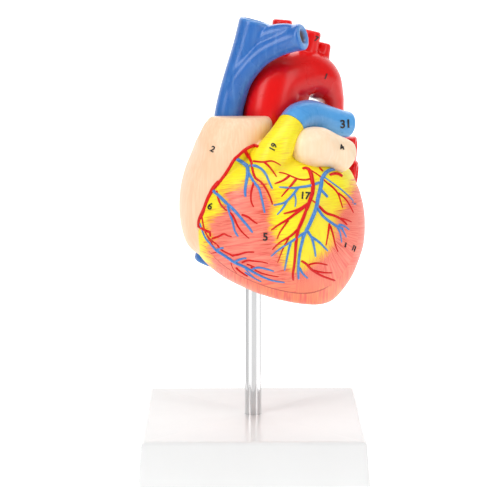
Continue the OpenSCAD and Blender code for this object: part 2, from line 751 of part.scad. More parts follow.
// The left artery's path while the front half slides away, seen from the front half.
module artery_clearance() {
    for (way = [0, 3, 8])
        translate([0, way, 0]) tube(left_artery_run, pulmonary_d / 2, 2, 20, seam_gap, 2);
}

module front_wall() {
    color(muscle) difference() {
        skin() difference() {
            intersection() {
                union() {
                    ventricles();
                    front_atrium();
                    coronary_relief();
                }
                half_space(-1);
            }
            right_chamber();
            left_chamber();
            atrium_chamber();
            trunk_lumen();
            tube(trunk_run, trunk_d / 2, 2, 22, glue_gap, 0);
        }
        magnet_discs(-1, glue_gap / 2);
        pin_rods(pin_l + glue_gap, 2, pin_d / 2 + pin_fit);
    }
}

module front_magnets() color(steel) magnet_discs(-1);

module pulmonary_trunk() {
    color(yellow) skin() difference() {
        intersection() {
            tube(trunk_run, trunk_d / 2, 2, 22);
            half_space(-1);
        }
        trunk_lumen(1);
        right_chamber();
    }
}

module left_auricle() {
    color(peach) skin() difference() {
        intersection() {
            tube(auricle_run, 1, 2, 20);
            half_space(-1);
        }
        ventricles(glue_gap);
        tube(on_front(coronary_routes[vein_route]), coronary_d / 2, 1, 6, glue_gap);
        tube(trunk_run, trunk_d / 2, 2, 22, glue_gap, 0);
        artery_clearance();
    }
}

// ---- Drawing ----

base();
rubber_feet();
support_rod();
rear_wall();
rod_bush();
rear_magnets();
locating_pins();
superior_vena_cava();
inferior_vena_cava();
aorta();
pulmonary_arteries();
left_atrium();
left_pulmonary_veins();
right_pulmonary_veins();
tricuspid_valve();
right_papillary_muscles();
mitral_valve();
left_papillary_muscles();
aortic_valve();
front_wall();
front_magnets();
pulmonary_trunk();
pulmonary_valve();
left_auricle();
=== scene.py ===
import math

import bmesh
import bpy
import numpy as np
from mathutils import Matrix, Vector
from mathutils.bvhtree import BVHTree


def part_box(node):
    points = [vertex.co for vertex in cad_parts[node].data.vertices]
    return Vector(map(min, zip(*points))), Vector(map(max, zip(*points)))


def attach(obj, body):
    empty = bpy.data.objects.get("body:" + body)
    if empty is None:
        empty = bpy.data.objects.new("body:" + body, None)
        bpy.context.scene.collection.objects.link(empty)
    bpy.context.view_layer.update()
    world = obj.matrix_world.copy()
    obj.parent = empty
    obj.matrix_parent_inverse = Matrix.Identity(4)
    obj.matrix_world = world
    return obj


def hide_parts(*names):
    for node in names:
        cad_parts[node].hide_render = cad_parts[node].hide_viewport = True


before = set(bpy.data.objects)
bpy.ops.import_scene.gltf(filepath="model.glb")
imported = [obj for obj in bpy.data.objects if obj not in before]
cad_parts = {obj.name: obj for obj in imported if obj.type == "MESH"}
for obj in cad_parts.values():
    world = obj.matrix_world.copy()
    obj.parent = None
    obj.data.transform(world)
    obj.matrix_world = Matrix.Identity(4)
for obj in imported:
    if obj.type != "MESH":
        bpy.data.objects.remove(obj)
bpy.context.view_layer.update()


# ---- Camera, floor and lamps ----
# The model is seen from a little above the heart's middle, at about a metre. It stands on a
# white table that runs up into a white wall, among four soft lamps. Grey cards beside the
# picture give the plated rod its bands.

MM = 0.001
EYE = Vector((-0.00929, -1.03768, 0.29914))
camera = bpy.data.objects.new("camera", bpy.data.cameras.new("camera"))
camera.data.sensor_width = 36
camera.data.lens = 142.085
camera.location = EYE
camera.rotation_euler = (math.radians(90 - 10.125), 0, math.radians(-0.42))
bpy.context.scene.collection.objects.link(camera)
bpy.context.scene.camera = camera
bpy.context.scene.view_settings.view_transform = "Standard"


class Wire:
    """A socket of a material. Python's operators on it add Math nodes."""

    def __init__(self, finish, socket):
        self.finish = finish
        self.socket = socket

    def maths(self, operation, *others):
        inputs = {place: value for place, value in enumerate((self, *others))}
        return self.finish.node("ShaderNodeMath", {"operation": operation}, inputs)

    def __add__(self, other):
        return self.maths("ADD", other)

    def __sub__(self, other):
        return self.maths("SUBTRACT", other)

    def __rsub__(self, other):
        return (self * -1) + other

    def __mul__(self, other):
        return self.maths("MULTIPLY", other)

    __radd__ = __add__
    __rmul__ = __mul__

    def least(self, other):
        return self.maths("MINIMUM", other)

    def ramp(self, low, high):
        """0 below low, 1 above high, and a smooth rise between."""
        settings = {"interpolation_type": "SMOOTHSTEP"}
        inputs = {"Value": self, "From Min": low, "From Max": high}
        return self.finish.node("ShaderNodeMapRange", settings, inputs)


class Finish:
    """A material on the way. Constants go on the shader's own sockets."""

    def __init__(self, name, **constants):
        self.material = bpy.data.materials.new(name)
        self.material.use_nodes = True
        self.tree = self.material.node_tree
        self.shader = self.tree.nodes["Principled BSDF"]
        self.set(**constants)

    def put(self, socket, value):
        if isinstance(value, Wire):
            self.tree.links.new(value.socket, socket)
        elif isinstance(value, tuple) and len(value) == 3 and socket.type == "RGBA":
            socket.default_value = (*value, 1)
        else:
            socket.default_value = value

    def node(self, kind, settings=None, inputs=None, output=0):
        """Any node: its settings first, then the values or links of its sockets."""
        made = self.tree.nodes.new(kind)
        for key, value in (settings or {}).items():
            setattr(made, key, value)
        for key, value in (inputs or {}).items():
            self.put(made.inputs[key], value)
        return Wire(self, made.outputs[output])

    def attribute(self, name):
        return self.node("ShaderNodeAttribute", {"attribute_name": name}, output="Fac")

    def place(self):
        """The point on the piece, in metres in its own frame."""
        return self.node("ShaderNodeTexCoord", output="Object")

    def noise(self, at, scale, detail=3.0, rough=0.5):
        inputs = {"Vector": at, "Scale": scale, "Detail": detail, "Roughness": rough}
        return self.node("ShaderNodeTexNoise", {}, inputs)

    def stretched(self, at, x, y, z):
        settings = {"operation": "MULTIPLY"}
        return self.node("ShaderNodeVectorMath", settings, {0: at, 1: (x, y, z)})

    def mix(self, share, first, second):
        settings = {"data_type": "RGBA"}
        return self.node("ShaderNodeMix", settings, {0: share, 6: first, 7: second}, 2)

    def bump(self, height, distance, strength=1.0):
        inputs = {"Height": height, "Distance": distance, "Strength": strength}
        return self.node("ShaderNodeBump", {}, inputs)

    def set(self, **links):
        for key, value in links.items():
            self.put(self.shader.inputs[key.replace("_", " ")], value)
        return self


def mesh_piece(name, points, faces, smooth=True):
    """An object whose place is in its mesh, from points (n, 3) and faces of 3 or more corners."""
    mesh = bpy.data.meshes.new(name)
    faces = faces.tolist() if isinstance(faces, np.ndarray) else faces
    mesh.from_pydata(np.asarray(points).reshape(-1, 3).tolist(), [], faces)
    mesh.polygons.foreach_set("use_smooth", np.full(len(mesh.polygons), smooth))
    mesh.update()
    return placed(name, mesh)


def placed(name, data):
    """A new object in the scene."""
    piece = bpy.data.objects.new(name, data)
    bpy.context.scene.collection.objects.link(piece)
    return piece


def coloured(piece, finish):
    piece.data.materials.clear()
    piece.data.materials.append(finish.material)
    return piece


def studio():
    """The table and wall are one sheet: flat in front, a quarter circle, then upright."""
    width, front, back, height, bend = 3.0, -1.6, 1.4, 2.4, 0.6
    angles = np.linspace(0, math.pi / 2, 24)
    y = np.concatenate([[front], back - bend + bend * np.sin(angles), [back]])
    z = np.concatenate([[0], bend - bend * np.cos(angles), [height]])
    rows = len(y)
    points = np.stack([np.tile([-width, width], rows), np.repeat(y, 2), np.repeat(z, 2)], 1)
    first = np.arange(rows - 1)[:, None] * 2
    sheet = mesh_piece("studio_sheet", points, first + [0, 1, 3, 2])
    paper = Finish("white_paper", Roughness=0.9, Base_Color=(0.9, 0.9, 0.9),
                   Emission_Color=(1, 1, 1), Emission_Strength=0.55)
    coloured(sheet, paper)


def card(name, first, last, near, grey):
    """A grey card on the table outside the picture, where the rod reflects it: a sector
    round the rod between two turns from the front, in degrees, and from near to far."""
    parts, far, view_half, view_spread, in_front = 24, 0.9, 0.146, 0.127, -0.6
    turn = np.radians(np.linspace(first, last, parts + 1))
    way = np.stack([np.sin(turn), -np.cos(turn)], 1)
    # At the sides the inner edge keeps clear of what the camera sees.
    clear = view_half / (np.abs(way[:, 0]) - view_spread * way[:, 1])
    inner = np.where(way[:, 1] > in_front, np.maximum(near, clear), near)
    edge = lambda radius: np.column_stack([way * radius, np.full(parts + 1, MM)])
    faces = np.arange(parts)[:, None] + [0, parts + 1, parts + 2, 1]
    sheet = mesh_piece(name, np.concatenate([edge(inner[:, None]), edge(far)]), faces, False)
    coloured(sheet, Finish(name, Roughness=0.9, Base_Color=(grey,) * 3))


def lamp(name, place, aim, size, power):
    """A soft rectangular lamp that faces the point aim."""
    light = placed(name, bpy.data.lights.new(name, "AREA"))
    light.data.shape = "RECTANGLE"
    light.data.size, light.data.size_y = size
    light.data.energy = power
    light.location = place
    light.rotation_euler = (Vector(aim) - Vector(place)).to_track_quat("-Z", "Y").to_euler()


studio()
HEART_MIDDLE = (0.01, 0, 0.16)
lamp("lamp_left", (-0.75, -0.65, 0.7), HEART_MIDDLE, (0.42, 0.9), 4.6)
lamp("lamp_right", (0.85, -0.7, 0.6), HEART_MIDDLE, (0.42, 0.9), 3.0)
lamp("lamp_top", (0.0, -0.35, 1.1), HEART_MIDDLE, (0.8, 0.6), 3.8)
lamp("lamp_back", (0.0, 0.75, 0.85), (0, 0, 0.02), (0.9, 0.6), 2.6)
card("card_left", -125, -63, 0.12, 0.72)
card("card_right", 104, 128, 0.12, 0.8)
card("card_front", -23, 47, 0.135, 0.9)
world = bpy.data.worlds.new("white_room")
world.use_nodes = True
world.node_tree.nodes["Background"].inputs["Color"].default_value = (1, 1, 1, 1)
world.node_tree.nodes["Background"].inputs["Strength"].default_value = 0.3
bpy.context.scene.world = world


# ---- Base ----
# A hollow square plate, moulded in glossy white plastic with rounded rims and slightly leaning
# sides. Under it a boss takes the rod, four posts take the feet, and ribs cross between them.

base_low, base_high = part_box("base")


def closed_faces(rings, sides):
    """Quads between rings of equal count, with the ends left open."""
    start = np.arange(rings - 1)[:, None] * sides
    j = np.arange(sides)[None, :]
    k = (j + 1) % sides
    quads = np.stack([start + j, start + k, start + sides + k, start + sides + j], -1)
    return quads.reshape(-1, 4)


def ring_shell(name, rings):
    """A closed skin: each ring (count, sides, 3) joins the next, and the first and last
    shrink to their own middles."""
    rings = np.asarray(rings, float)
    first, last = (rings[i].mean(0, keepdims=True) for i in (0, -1))
    pole = lambda middle: np.repeat(middle[None], rings.shape[1], 1)
    rings = np.concatenate([pole(first), rings, pole(last)])
    piece = mesh_piece(name, rings, closed_faces(len(rings), rings.shape[1]))
    tidy_mesh(piece)
    return piece


def tidy_mesh(piece):
    """Merges the poles' points and turns every face outwards."""
    work = bmesh.new()
    work.from_mesh(piece.data)
    bmesh.ops.remove_doubles(work, verts=work.verts, dist=1e-7)
    bmesh.ops.dissolve_degenerate(work, edges=work.edges, dist=1e-7)
    bmesh.ops.recalc_face_normals(work, faces=work.faces)
    work.to_mesh(piece.data)
    work.free()


def carried_out(piece):
    """The piece with its modifiers made real."""
    graph = bpy.context.evaluated_depsgraph_get()
    mesh = bpy.data.meshes.new_from_object(piece.evaluated_get(graph))
    piece.modifiers.clear()
    piece.data = mesh
    return piece


def combine(piece, tool, finish=None, operation="DIFFERENCE"):
    """Cuts piece with tool, or keeps what they share. The new faces take the tool's finish,
    and the tool goes."""
    if finish:
        coloured(tool, finish)
    cut = piece.modifiers.new(operation, "BOOLEAN")
    cut.operation = operation
    cut.solver = "MANIFOLD"
    cut.material_mode = "TRANSFER"
    cut.object = tool
    carried_out(piece)
    bpy.data.objects.remove(tool)
    return piece


def sharpen(piece, degrees=40):
    """Smooth shading, but for edges sharper than that many degrees."""
    piece.data.polygons.foreach_set("use_smooth", np.ones(len(piece.data.polygons), bool))
    piece.data.set_sharp_from_angle(angle=math.radians(degrees))
    return piece


CORNER_SIDES = 16


def rounded_square(half, corner):
    """A square outline with round corners: each corner is a quarter circle of radius corner."""
    quarter = np.linspace(0, math.pi / 2, CORNER_SIDES)
    turns = (np.arange(4)[:, None] * math.pi / 2 + quarter[None]).reshape(-1)
    signs = np.repeat([[1, 1], [-1, 1], [-1, -1], [1, -1]], CORNER_SIDES, 0)
    return signs * (half - corner) + corner * np.stack([np.cos(turns), np.sin(turns)], 1)


def plate_rings(half, low, high, lean, corner, rim):
    """Rounded-square rings up the sides, over a quarter-round rim and in across the top."""
    least_corner = corner * 0.3
    round_rim = np.linspace(0, math.pi / 2, 9)
    heights = np.concatenate([[low], high - rim + rim * np.sin(round_rim)])
    insets = np.concatenate([[0], lean + rim - rim * np.cos(round_rim)])
    return np.array([
        np.column_stack([rounded_square(half - i, max(corner - i, least_corner)),
                         np.full(4 * CORNER_SIDES, z)])
        for z, i in zip(heights, insets)
    ])


def lathe(name, profile, x=0.0, y=0.0, sides=96):
    """A closed skin turned about the upright line through x, y, from (radius, height) pairs."""
    profile = np.asarray(profile, float)
    turn = np.linspace(0, 2 * math.pi, sides, endpoint=False)
    r, z = profile[:, :1], profile[:, 1:]
    rings = np.stack([x + r * np.cos(turn), y + r * np.sin(turn), z + 0 * turn], -1)
    return ring_shell(name, rings)


def pillar(name, x, y, low, high, radius):
    """An upright round bar, as a closed shell."""
    return lathe(name, [(radius, low), (radius, high)], x, y, 64)


def base():
    """The plate is hollowed from below. Boss, posts and ribs stay, and holes are cut in them."""
    half, top = base_high.x, base_high.z
    bottom, wall, lean, rim = base_low.z, 2.6 * MM, 1.9 * MM, 2.2 * MM
    corner, foot_in, post, boss, rod_hole = 2.4 * MM, 12.1 * MM, 7.1 * MM, 8.05 * MM, 4.55 * MM
    floor, rib_start, recess, recess_depth = 3 * MM, 6 * MM, 5.6 * MM, 1.8 * MM
    feet = [(sx * (half - foot_in), sy * (half - foot_in)) for sx in (-1, 1) for sy in (-1, 1)]
    plate = ring_shell("base_plate", plate_rings(half, bottom, top, lean, corner, rim))
    inside = ring_shell(
        "inside", plate_rings(half - wall, bottom - MM, top - wall, lean, corner, rim)
    )
    for x, y, radius in [(0, 0, boss)] + [(*foot, post) for foot in feet]:
        combine(inside, pillar("post", x, y, bottom - 2 * MM, top, radius))
    for reach in ([half, MM], [MM, half]):
        corners = np.array([[-1, -1], [1, -1], [1, 1], [-1, 1]]) * reach
        rib = [np.column_stack([corners, np.full(4, z)]) for z in (bottom + rib_start, top)]
        combine(inside, ring_shell("rib", rib))
    combine(plate, inside)
    combine(plate, pillar("hole", 0, 0, floor, top + MM, rod_hole))
    for x, y in feet:
        combine(plate, pillar("recess", x, y, -MM, recess_depth, recess))
    return sharpen(plate)


def base_finish():
    """Glossy white, faintly cloudy, with a fine grain in its height."""
    gloss = Finish("base_gloss", Coat_Weight=0.15, Coat_Roughness=0.08, Specular_IOR_Level=0.3)
    place = gloss.place()
    cloud = gloss.noise(place, 22, 2)
    grain = gloss.noise(place, 900, 2)
    color = gloss.mix(cloud.ramp(0.3, 0.7), (0.782, 0.788, 0.786), (0.797, 0.803, 0.801))
    rough = gloss.noise(place, 60, 4).ramp(0.2, 0.9) * 0.1 + 0.18
    return gloss.set(
        Base_Color=color, Roughness=rough, Normal=gloss.bump(grain, 0.00002, 0.25)
    )


base_plate = coloured(base(), base_finish())
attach(base_plate, "base")
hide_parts("base")


def dress(finish, *nodes):
    """Gives CAD nodes that stay in view their material."""
    for node in nodes:
        coloured(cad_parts[node], finish)


def speckled(name, dark, light, scale, detail, bump, strength=0.3, **constants):
    """A plain material that one fine noise makes uneven, in colour and in height."""
    finish = Finish(name, **constants)
    speck = finish.noise(finish.place(), scale, detail)
    return finish.set(
        Base_Color=finish.mix(speck, dark, light), Normal=finish.bump(speck, bump, strength)
    )


# ---- Feet ----
# Four discs of dark rubber, pressed into round recesses under the base's posts.

dress(speckled("foot_rubber", (0.03, 0.03, 0.03), (0.07, 0.07, 0.07), 700, 3, 0.00005, 0.4,
               Roughness=0.8), "rubber_feet")


# ---- Rod and bush ----
# A plated steel tube with turned ends stands in the base's boss. It runs up into a plain
# plastic bush in the heart.

def rod():
    """A tube turned from its profile, with its outer and inner edges bevelled."""
    low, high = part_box("support_rod")
    radius, wall, turned = high.x, 1.0 * MM, 0.4 * MM
    bore = radius - wall
    profile = [
        (bore, low.z), (radius - turned, low.z), (radius, low.z + turned),
        (radius, high.z - turned), (radius - turned, high.z), (bore + turned / 2, high.z),
        (bore, high.z - turned / 2), (bore, low.z),
    ]
    piece = lathe("rod_tube", profile)
    return sharpen(piece, 30)


chrome = Finish("rod_chrome", Metallic=1.0, Roughness=0.08)
draw_lines = chrome.noise(chrome.stretched(chrome.place(), 1800, 1800, 12), 1, 3)
chrome.set(
    Base_Color=chrome.mix(draw_lines, (0.7, 0.705, 0.71), (0.77, 0.77, 0.775)),
    Roughness=draw_lines * 0.06 + 0.05,
)
rod_tube = coloured(rod(), chrome)
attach(rod_tube, "rod")
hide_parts("support_rod")

dress(speckled("bush_plastic", (0.55, 0.55, 0.55), (0.66, 0.66, 0.66), 500, 2, 0.00003,
               Roughness=0.45), "rod_bush")


# ---- Heart: the two halves of the wall ----
# Thin vinyl castings, painted by hand. The heart is one rounded body, sawn along a leaning
# seam; each half holds its share of the chambers, whose walls are ridged with muscle.

low_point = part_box("rear_wall")[0].z - 0.5 * MM


def hearted(points):
    """Millimetres with the height above the heart's lowest level, as metres in the frame."""
    return np.asarray(points, float) * MM + [0, 0, low_point]


# Sections: height, left x, right x, front y, back y.
VENTRICLES = [
    [0.5, 29, 36, -13, -5], [1.2, 23, 39.8, -16, -1], [2.6, 15, 42.8, -19, 5],
    [5, 5.5, 45.6, -22, 11], [9, -5, 49, -25.6, 17], [15, -16.5, 52.8, -30.6, 22.5],
    [23, -26, 56, -36, 27.5], [32, -31.5, 58.6, -40, 31], [41, -33.4, 59.3, -42.3, 33.5],
    [50, -34, 58.8, -42, 34.5], [59, -32.4, 56.8, -40.4, 35], [65, -29.6, 54.4, -39, 34.6],
    [71, -26, 51.4, -36.4, 33], [77, -21.4, 45, -29.6, 29], [83, -14, 35, -22.4, 23],
    [87, -4, 26, -18, 16], [88.6, 4, 21, -14, 10],
]
ATRIUM_LOWER = [
    [27, -29, -24, -10, 2], [28.6, -32.2, -18, -15, 8], [33, -35.8, -12, -19.8, 17],
    [42, -38.6, -7, -23, 26.5], [52, -39.4, -5, -24.5, 30],
    [62, -38.6, -2, -25, 32], [72, -36, 2, -26.6, 33], [82, -32, 6, -28, 33],
]
FRONT_ATRIUM = ATRIUM_LOWER + [
    [90, -32.6, 12.4, -26, 31], [96, -29.6, 13.4, -25, 29], [99.4, -27, 12.6, -23, 26],
    [100.8, -25.4, 11, -21.6, 24],
]
REAR_ATRIUM = ATRIUM_LOWER + [
    [89, -29.2, 8, -31, 27], [94, -25, 4, -27, 20], [97, -18, -2, -16, 13], [98, -14, -6, -8, 6],
]
RIGHT_CHAMBER = [
    [16, 9, 15, -25.5, -20], [20, 3, 17, -28, -14.5], [26, -6, 17, -31, -11.2],
    [34, -14, 15.5, -34, -10], [44, -18.6, 13, -36.2, -9.2], [54, -17.5, 12, -36, -9.2],
    [62, -13, 12, -34, -10], [70, -5, 13, -31.5, -13], [76, 1, 13, -29.5, -18],
]
LEFT_CHAMBER = [
    [12, 33, 38, -12, -5], [17, 29, 43, -19, 1], [26, 25, 46.5, -26, 9],
    [36, 23, 47.5, -29, 15], [46, 22, 46.5, -28, 20], [56, 20, 43, -24, 22],
    [64, 19, 39, -17, 23], [70, 20, 34, -9, 21], [74, 22, 30, 0, 17],
]
ATRIUM_CHAMBER = [
    [34, -29, -22, -10, 4], [40, -33, -18.5, -17, 11], [50, -35.4, -16.8, -20, 17],
    [60, -35.4, -15.6, -21.4, 20], [72, -31.6, -13.5, -20.6, 20], [82, -26.6, -10.6, -18, 14],
    [89, -21.4, -10, -16.4, 9], [93, -18, -12, -13, 1],
]


def section_at(rows, heights):
    """Sections at the heights: each column is carried over height by a cubic that passes
    through the rows with their own slopes."""
    rows = np.array(rows, float)
    z = rows[:, 0]
    ends = np.arange(len(rows))
    after, before = np.minimum(ends + 1, len(rows) - 1), np.maximum(ends - 1, 0)
    slopes = (rows[after] - rows[before]) / (z[after] - z[before])[:, None]
    k = np.clip(np.searchsorted(z, heights, side="right") - 1, 0, len(rows) - 2)
    step = z[k + 1] - z[k]
    t = np.clip((heights - z[k]) / step, 0, 1)[..., None]
    step = step[..., None]
    return (
        rows[k] * (2 * t**3 - 3 * t**2 + 1) + slopes[k] * step * (t**3 - 2 * t**2 + t)
        + rows[k + 1] * (3 * t**2 - 2 * t**3) + slopes[k + 1] * step * (t**3 - t**2)
    )


def stacked(name, rows, sides=128, ridges=0.0):
    """A rounded form of stacked ellipses, one for each millimetre of height. ridges draws the
    wall in and out in uneven folds that run up it, by that many millimetres."""
    heights = np.arange(rows[0][0], rows[-1][0] + 0.5)
    s = section_at(rows, heights)
    turn = np.linspace(0, 2 * math.pi, sides, endpoint=False)[None]
    z = heights[:, None]
    fold = ridges * (
        np.sin(11 * turn + 0.16 * z) * 0.5
        + np.sin(19 * turn - 0.23 * z + 1.3) * 0.3
        + np.sin(7 * turn + 0.5 * z) * 0.35
    )
    x = (s[:, 1:2] + s[:, 2:3]) / 2 + ((s[:, 2:3] - s[:, 1:2]) / 2 - ridges + fold) * np.cos(turn)
    y = (s[:, 3:4] + s[:, 4:5]) / 2 + ((s[:, 4:5] - s[:, 3:4]) / 2 - ridges + fold) * np.sin(turn)
    return ring_shell(name, hearted(np.stack([x, y, z + 0 * turn], -1)))


def along_run(rows, per_row=10):
    """Points along a run by a Catmull-Rom cubic, which mixes the four rows round each stretch."""
    rows = np.array(rows, float)
    padded = np.vstack([rows[:1], rows, rows[-1:]])
    t = np.linspace(0, 1, per_row, endpoint=False)[None, :, None]
    p0, p1, p2, p3 = (padded[i:len(rows) - 1 + i][:, None] for i in range(4))
    points = 0.5 * (
        2 * p1 + (p2 - p0) * t + (2 * p0 - 5 * p1 + 4 * p2 - p3) * t**2
        + (3 * p1 - p0 - 3 * p2 + p3) * t**3
    )
    return np.vstack([points.reshape(-1, rows.shape[1]), rows[-1:]])


def unit(v):
    return v / np.linalg.norm(v, axis=-1, keepdims=True)


def carried_frame(centres):
    """The direction along a path and two square sides, turned as little as the path allows."""
    along = unit(np.gradient(centres, axis=0))
    start = np.array([1.0, 0, 0]) if abs(along[0][1]) > 0.8 else np.array([0, 1.0, 0])
    side = np.empty_like(along)
    for i, direction in enumerate(along):
        start = unit(start - direction * np.dot(start, direction))
        side[i] = start
    return along, side, np.cross(along, side)


def swept(centres, radii, sides=48):
    """Rings of the given radii round a path, with the frame that carries them."""
    along, side, other = carried_frame(centres)
    turn = np.linspace(0, 2 * math.pi, sides, endpoint=False)[None, :, None]
    spokes = np.cos(turn) * side[:, None] + np.sin(turn) * other[:, None]
    return centres[:, None] + np.asarray(radii)[:, None, None] * spokes


VESSEL_WALL, VESSEL_DEPTH = 3.0, 9.0


def mouth(centre, outward, spokes, radius, wall):
    """The rings of an open end, from the outside over the lip to the bottom of the hole.
    The lip is a half circle from the outer radius to the inner one."""
    lip = wall / 2
    arc = np.linspace(0, math.pi, 11)
    inner, deep = radius - wall, VESSEL_DEPTH
    radial = np.concatenate([radius - lip + lip * np.cos(arc), [inner] * 3, [inner * 0.6, 0.3]])
    shift = np.concatenate([lip * np.sin(arc) - lip, [-deep / 2, -deep * 0.8, -deep],
                            [-deep - 0.8, -deep - 1]])
    return centre + shift[:, None, None] * outward + radial[:, None, None] * spokes[None]


def vessel(name, rows, radius, sides=56, is_open=False, wall=VESSEL_WALL, grow=0.0, longer=0.0):
    """A tube along a run of [x, y, height, share of the radius]. An open one ends in a lip and
    a hole; longer adds a straight piece at the end."""
    line = along_run(rows)
    centres, radii = line[:, :3], line[:, 3] * radius + grow
    if longer:
        tip = centres[-1] + unit(centres[-1] - centres[-2]) * longer
        centres, radii = np.vstack([centres, tip]), np.append(radii, radii[-1])
    rings = swept(centres, radii, sides)
    if is_open:
        along, side, other = carried_frame(centres)
        turn = np.linspace(0, 2 * math.pi, sides, endpoint=False)[:, None]
        spokes = np.cos(turn) * side[-1] + np.sin(turn) * other[-1]
        lip = mouth(centres[-1], along[-1], spokes, radii[-1], wall)
        clear = np.linalg.norm(centres - centres[-1], axis=1) > wall / 2 + 0.2
        rings = np.concatenate([rings[clear], lip])
    return ring_shell(name, hearted(rings))


def merged(pieces):
    """The points and faces of several meshes, as one list of each."""
    points, faces = [], []
    for piece in pieces:
        start = len(points)
        points += [v.co.copy() for v in piece.data.vertices]
        faces += [[i + start for i in f.vertices] for f in piece.data.polygons]
    return points, faces


def joined(name, pieces):
    """One object that holds the shells of several."""
    points, faces = merged(pieces)
    for piece in pieces:
        bpy.data.objects.remove(piece)
    return mesh_piece(name, points, faces)


def fused(name, pieces, grain, rounds):
    """The pieces as one skin: their union is rebuilt on a lattice of step grain, in metres,
    and each round draws every point towards its neighbours, which fills the joints."""
    piece = joined(name, pieces)
    union = piece.modifiers.new("union", "REMESH")
    union.mode = "VOXEL"
    union.voxel_size = grain
    soften = piece.modifiers.new("soften", "SMOOTH")
    soften.factor = 0.5
    soften.iterations = rounds
    return carried_out(piece)


SEAM_Y, SEAM_LEAN, SEAM_MIDDLE = -20.5, math.radians(8.5), 44
SEAM_TURN, SEAM_TURN_X, SEAM_GAP = 0.18, 25.5, 0.1


def seam_y(x, z):
    """The seam leans back toward the top; below its middle it also turns forward at the left."""
    turned = SEAM_TURN * (x - SEAM_TURN_X) * np.maximum(0, SEAM_MIDDLE - z) / SEAM_MIDDLE
    return SEAM_Y + math.tan(SEAM_LEAN) * (z - SEAM_MIDDLE) + turned


def beside_seam(name, side):
    """A block on one side of the seam: -1 is the front and 1 the rear."""
    x = np.linspace(-60, 80, 29)
    z = np.linspace(-12, 120, 45)[:, None]
    near = seam_y(x[None], np.maximum(z, -10)) + side * SEAM_GAP / 2
    sheet = np.stack([x + 0 * near, near, z + 0 * near], -1)
    far = sheet[:, ::-1].copy()
    far[..., 1] = side * 90
    return ring_shell(name, hearted(np.concatenate([sheet, far], 1)))


MAGNETS = [[47.6, 48], [18.6, 50], [0, 88]]
PINS = [[22.6, 28], [29, 73]]


def short_bar(name, centre, direction, radius, before, after):
    """A round bar through centre along direction."""
    line = np.array([centre - direction * before, centre, centre + direction * after])
    return ring_shell(name, hearted(swept(line, [radius] * 3)))


def seam_fittings(side):
    """Pockets for the magnets and holes for the pins on one side of the seam."""
    pocket, pocket_depth, hole, hole_depth = 3.15, 2.8, 2.3 if side < 0 else 2.15, 5.3
    across = np.array([0, math.cos(SEAM_LEAN), -math.sin(SEAM_LEAN)]) * side
    level = np.array([0.0, side, 0])
    return joined("fittings", [
        short_bar("fitting", np.array([x, seam_y(x, z), z]), way, radius, 1, depth)
        for places, way, radius, depth in (
            (MAGNETS, across, pocket, pocket_depth), (PINS, level, hole, hole_depth)
        )
        for x, z in places
    ])


TRUNK_R, LUMEN_R = 7.7, 5.7
TRUNK_RUN = [
    [5, -19, 66, 1.5], [8, -23.2, 77, 1.4], [12, -25.2, 85.5, 1.16],
    [15.6, -22.6, 91.6, 0.98], [19.6, -17.6, 97.2, 0.94],
]
LUMEN_RUN = [
    [4.2, -19.6, 66, 1.5], [7.8, -23.2, 77, 1.38], [12, -25, 85.5, 1.1],
    [15.6, -22.6, 91.6, 0.94], [19.6, -17.6, 97.2, 0.9],
]
trunk_end = np.array(TRUNK_RUN[-1][:3])
trunk_way = unit(trunk_end - along_run(TRUNK_RUN)[-2][:3])
AORTA_RUN = [
    [9.2, 3, 78, 0.95], [8.4, 2.6, 91, 1.01], [8.9, 2.6, 104, 1.05], [12.6, 5, 115.8, 1.05],
    [21.3, 9.4, 119.8, 0.97], [30.6, 14, 120.5, 0.86], [37.5, 19, 115.4, 0.75],
    [42.4, 24, 107.4, 0.48], [43.5, 28, 99.6, 0.42], [44.3, 30, 88, 0.4],
]
ARCH_WEB_RUN = [
    [10, 3, 100, 0.9], [17, 6.5, 107, 0.86], [24, 9.8, 111, 0.6], [28, 11.6, 112.8, 0.32],
    [29.6, 12.4, 113.4, 0.16],
]
TRICUSPID_RUN = [[-26, -2, 55, 1], [-16, -8.6, 52.8, 1], [-4, -17, 50, 1]]
MITRAL_RUN = [[18, 27, 75, 1], [22, 19.6, 69.4, 1], [29, 4, 58, 1]]
AORTIC_WAY_R = 9.4
AORTIC_RUN = [[27, -1, 62, 0.95], [17, 1, 72, 1], [10.6, 2.6, 84, 1], [9.6, 2.6, 98, 1]]
ATRIUM_LUMEN_RUN = [
    [2, 30, 76, 3], [6, 30, 76.4, 9], [15, 30, 76.4, 10.5], [24, 28, 76, 9], [29, 27, 76, 3],
]


# The ways for the rod and for its bush: from, to and radius.
ROD_WAYS = [(-5, 12, 4.8), (9.7, 38.8, 6.85)]


def chambers(front):
    """The hollow of each chamber, and the ways between them that this half shows."""
    shapes = [
        stacked("right_chamber", RIGHT_CHAMBER, 144, 0.5),
        stacked("left_chamber", LEFT_CHAMBER, 144, 0.5),
        stacked("atrium_chamber", ATRIUM_CHAMBER, 128, 0.35),
    ]
    if front:
        return shapes + [vessel("trunk_lumen", LUMEN_RUN, LUMEN_R, longer=4)]
    return shapes + [
        vessel("tricuspid_way", TRICUSPID_RUN, 8.0), vessel("mitral_way", MITRAL_RUN, 8.6),
        vessel("aortic_way", AORTIC_RUN, AORTIC_WAY_R),
        vessel("atrium_lumen", ATRIUM_LUMEN_RUN, 1.0),
    ]


def copy_of(piece, name="copy"):
    """A twin with its own mesh."""
    return placed(name, piece.data.copy())


def points_of(piece):
    """The points of the piece's mesh, (n, 3)."""
    points = np.empty(len(piece.data.vertices) * 3)
    piece.data.vertices.foreach_get("co", points)
    return points.reshape(-1, 3)


def give(piece, **values):
    """Named numbers, one for each point of the piece's mesh."""
    for name, numbers in values.items():
        layer = piece.data.attributes.new(name, "FLOAT", "POINT")
        layer.data.foreach_set("value", np.asarray(numbers, np.float32))


SIGHT_PLANE = -35 * MM


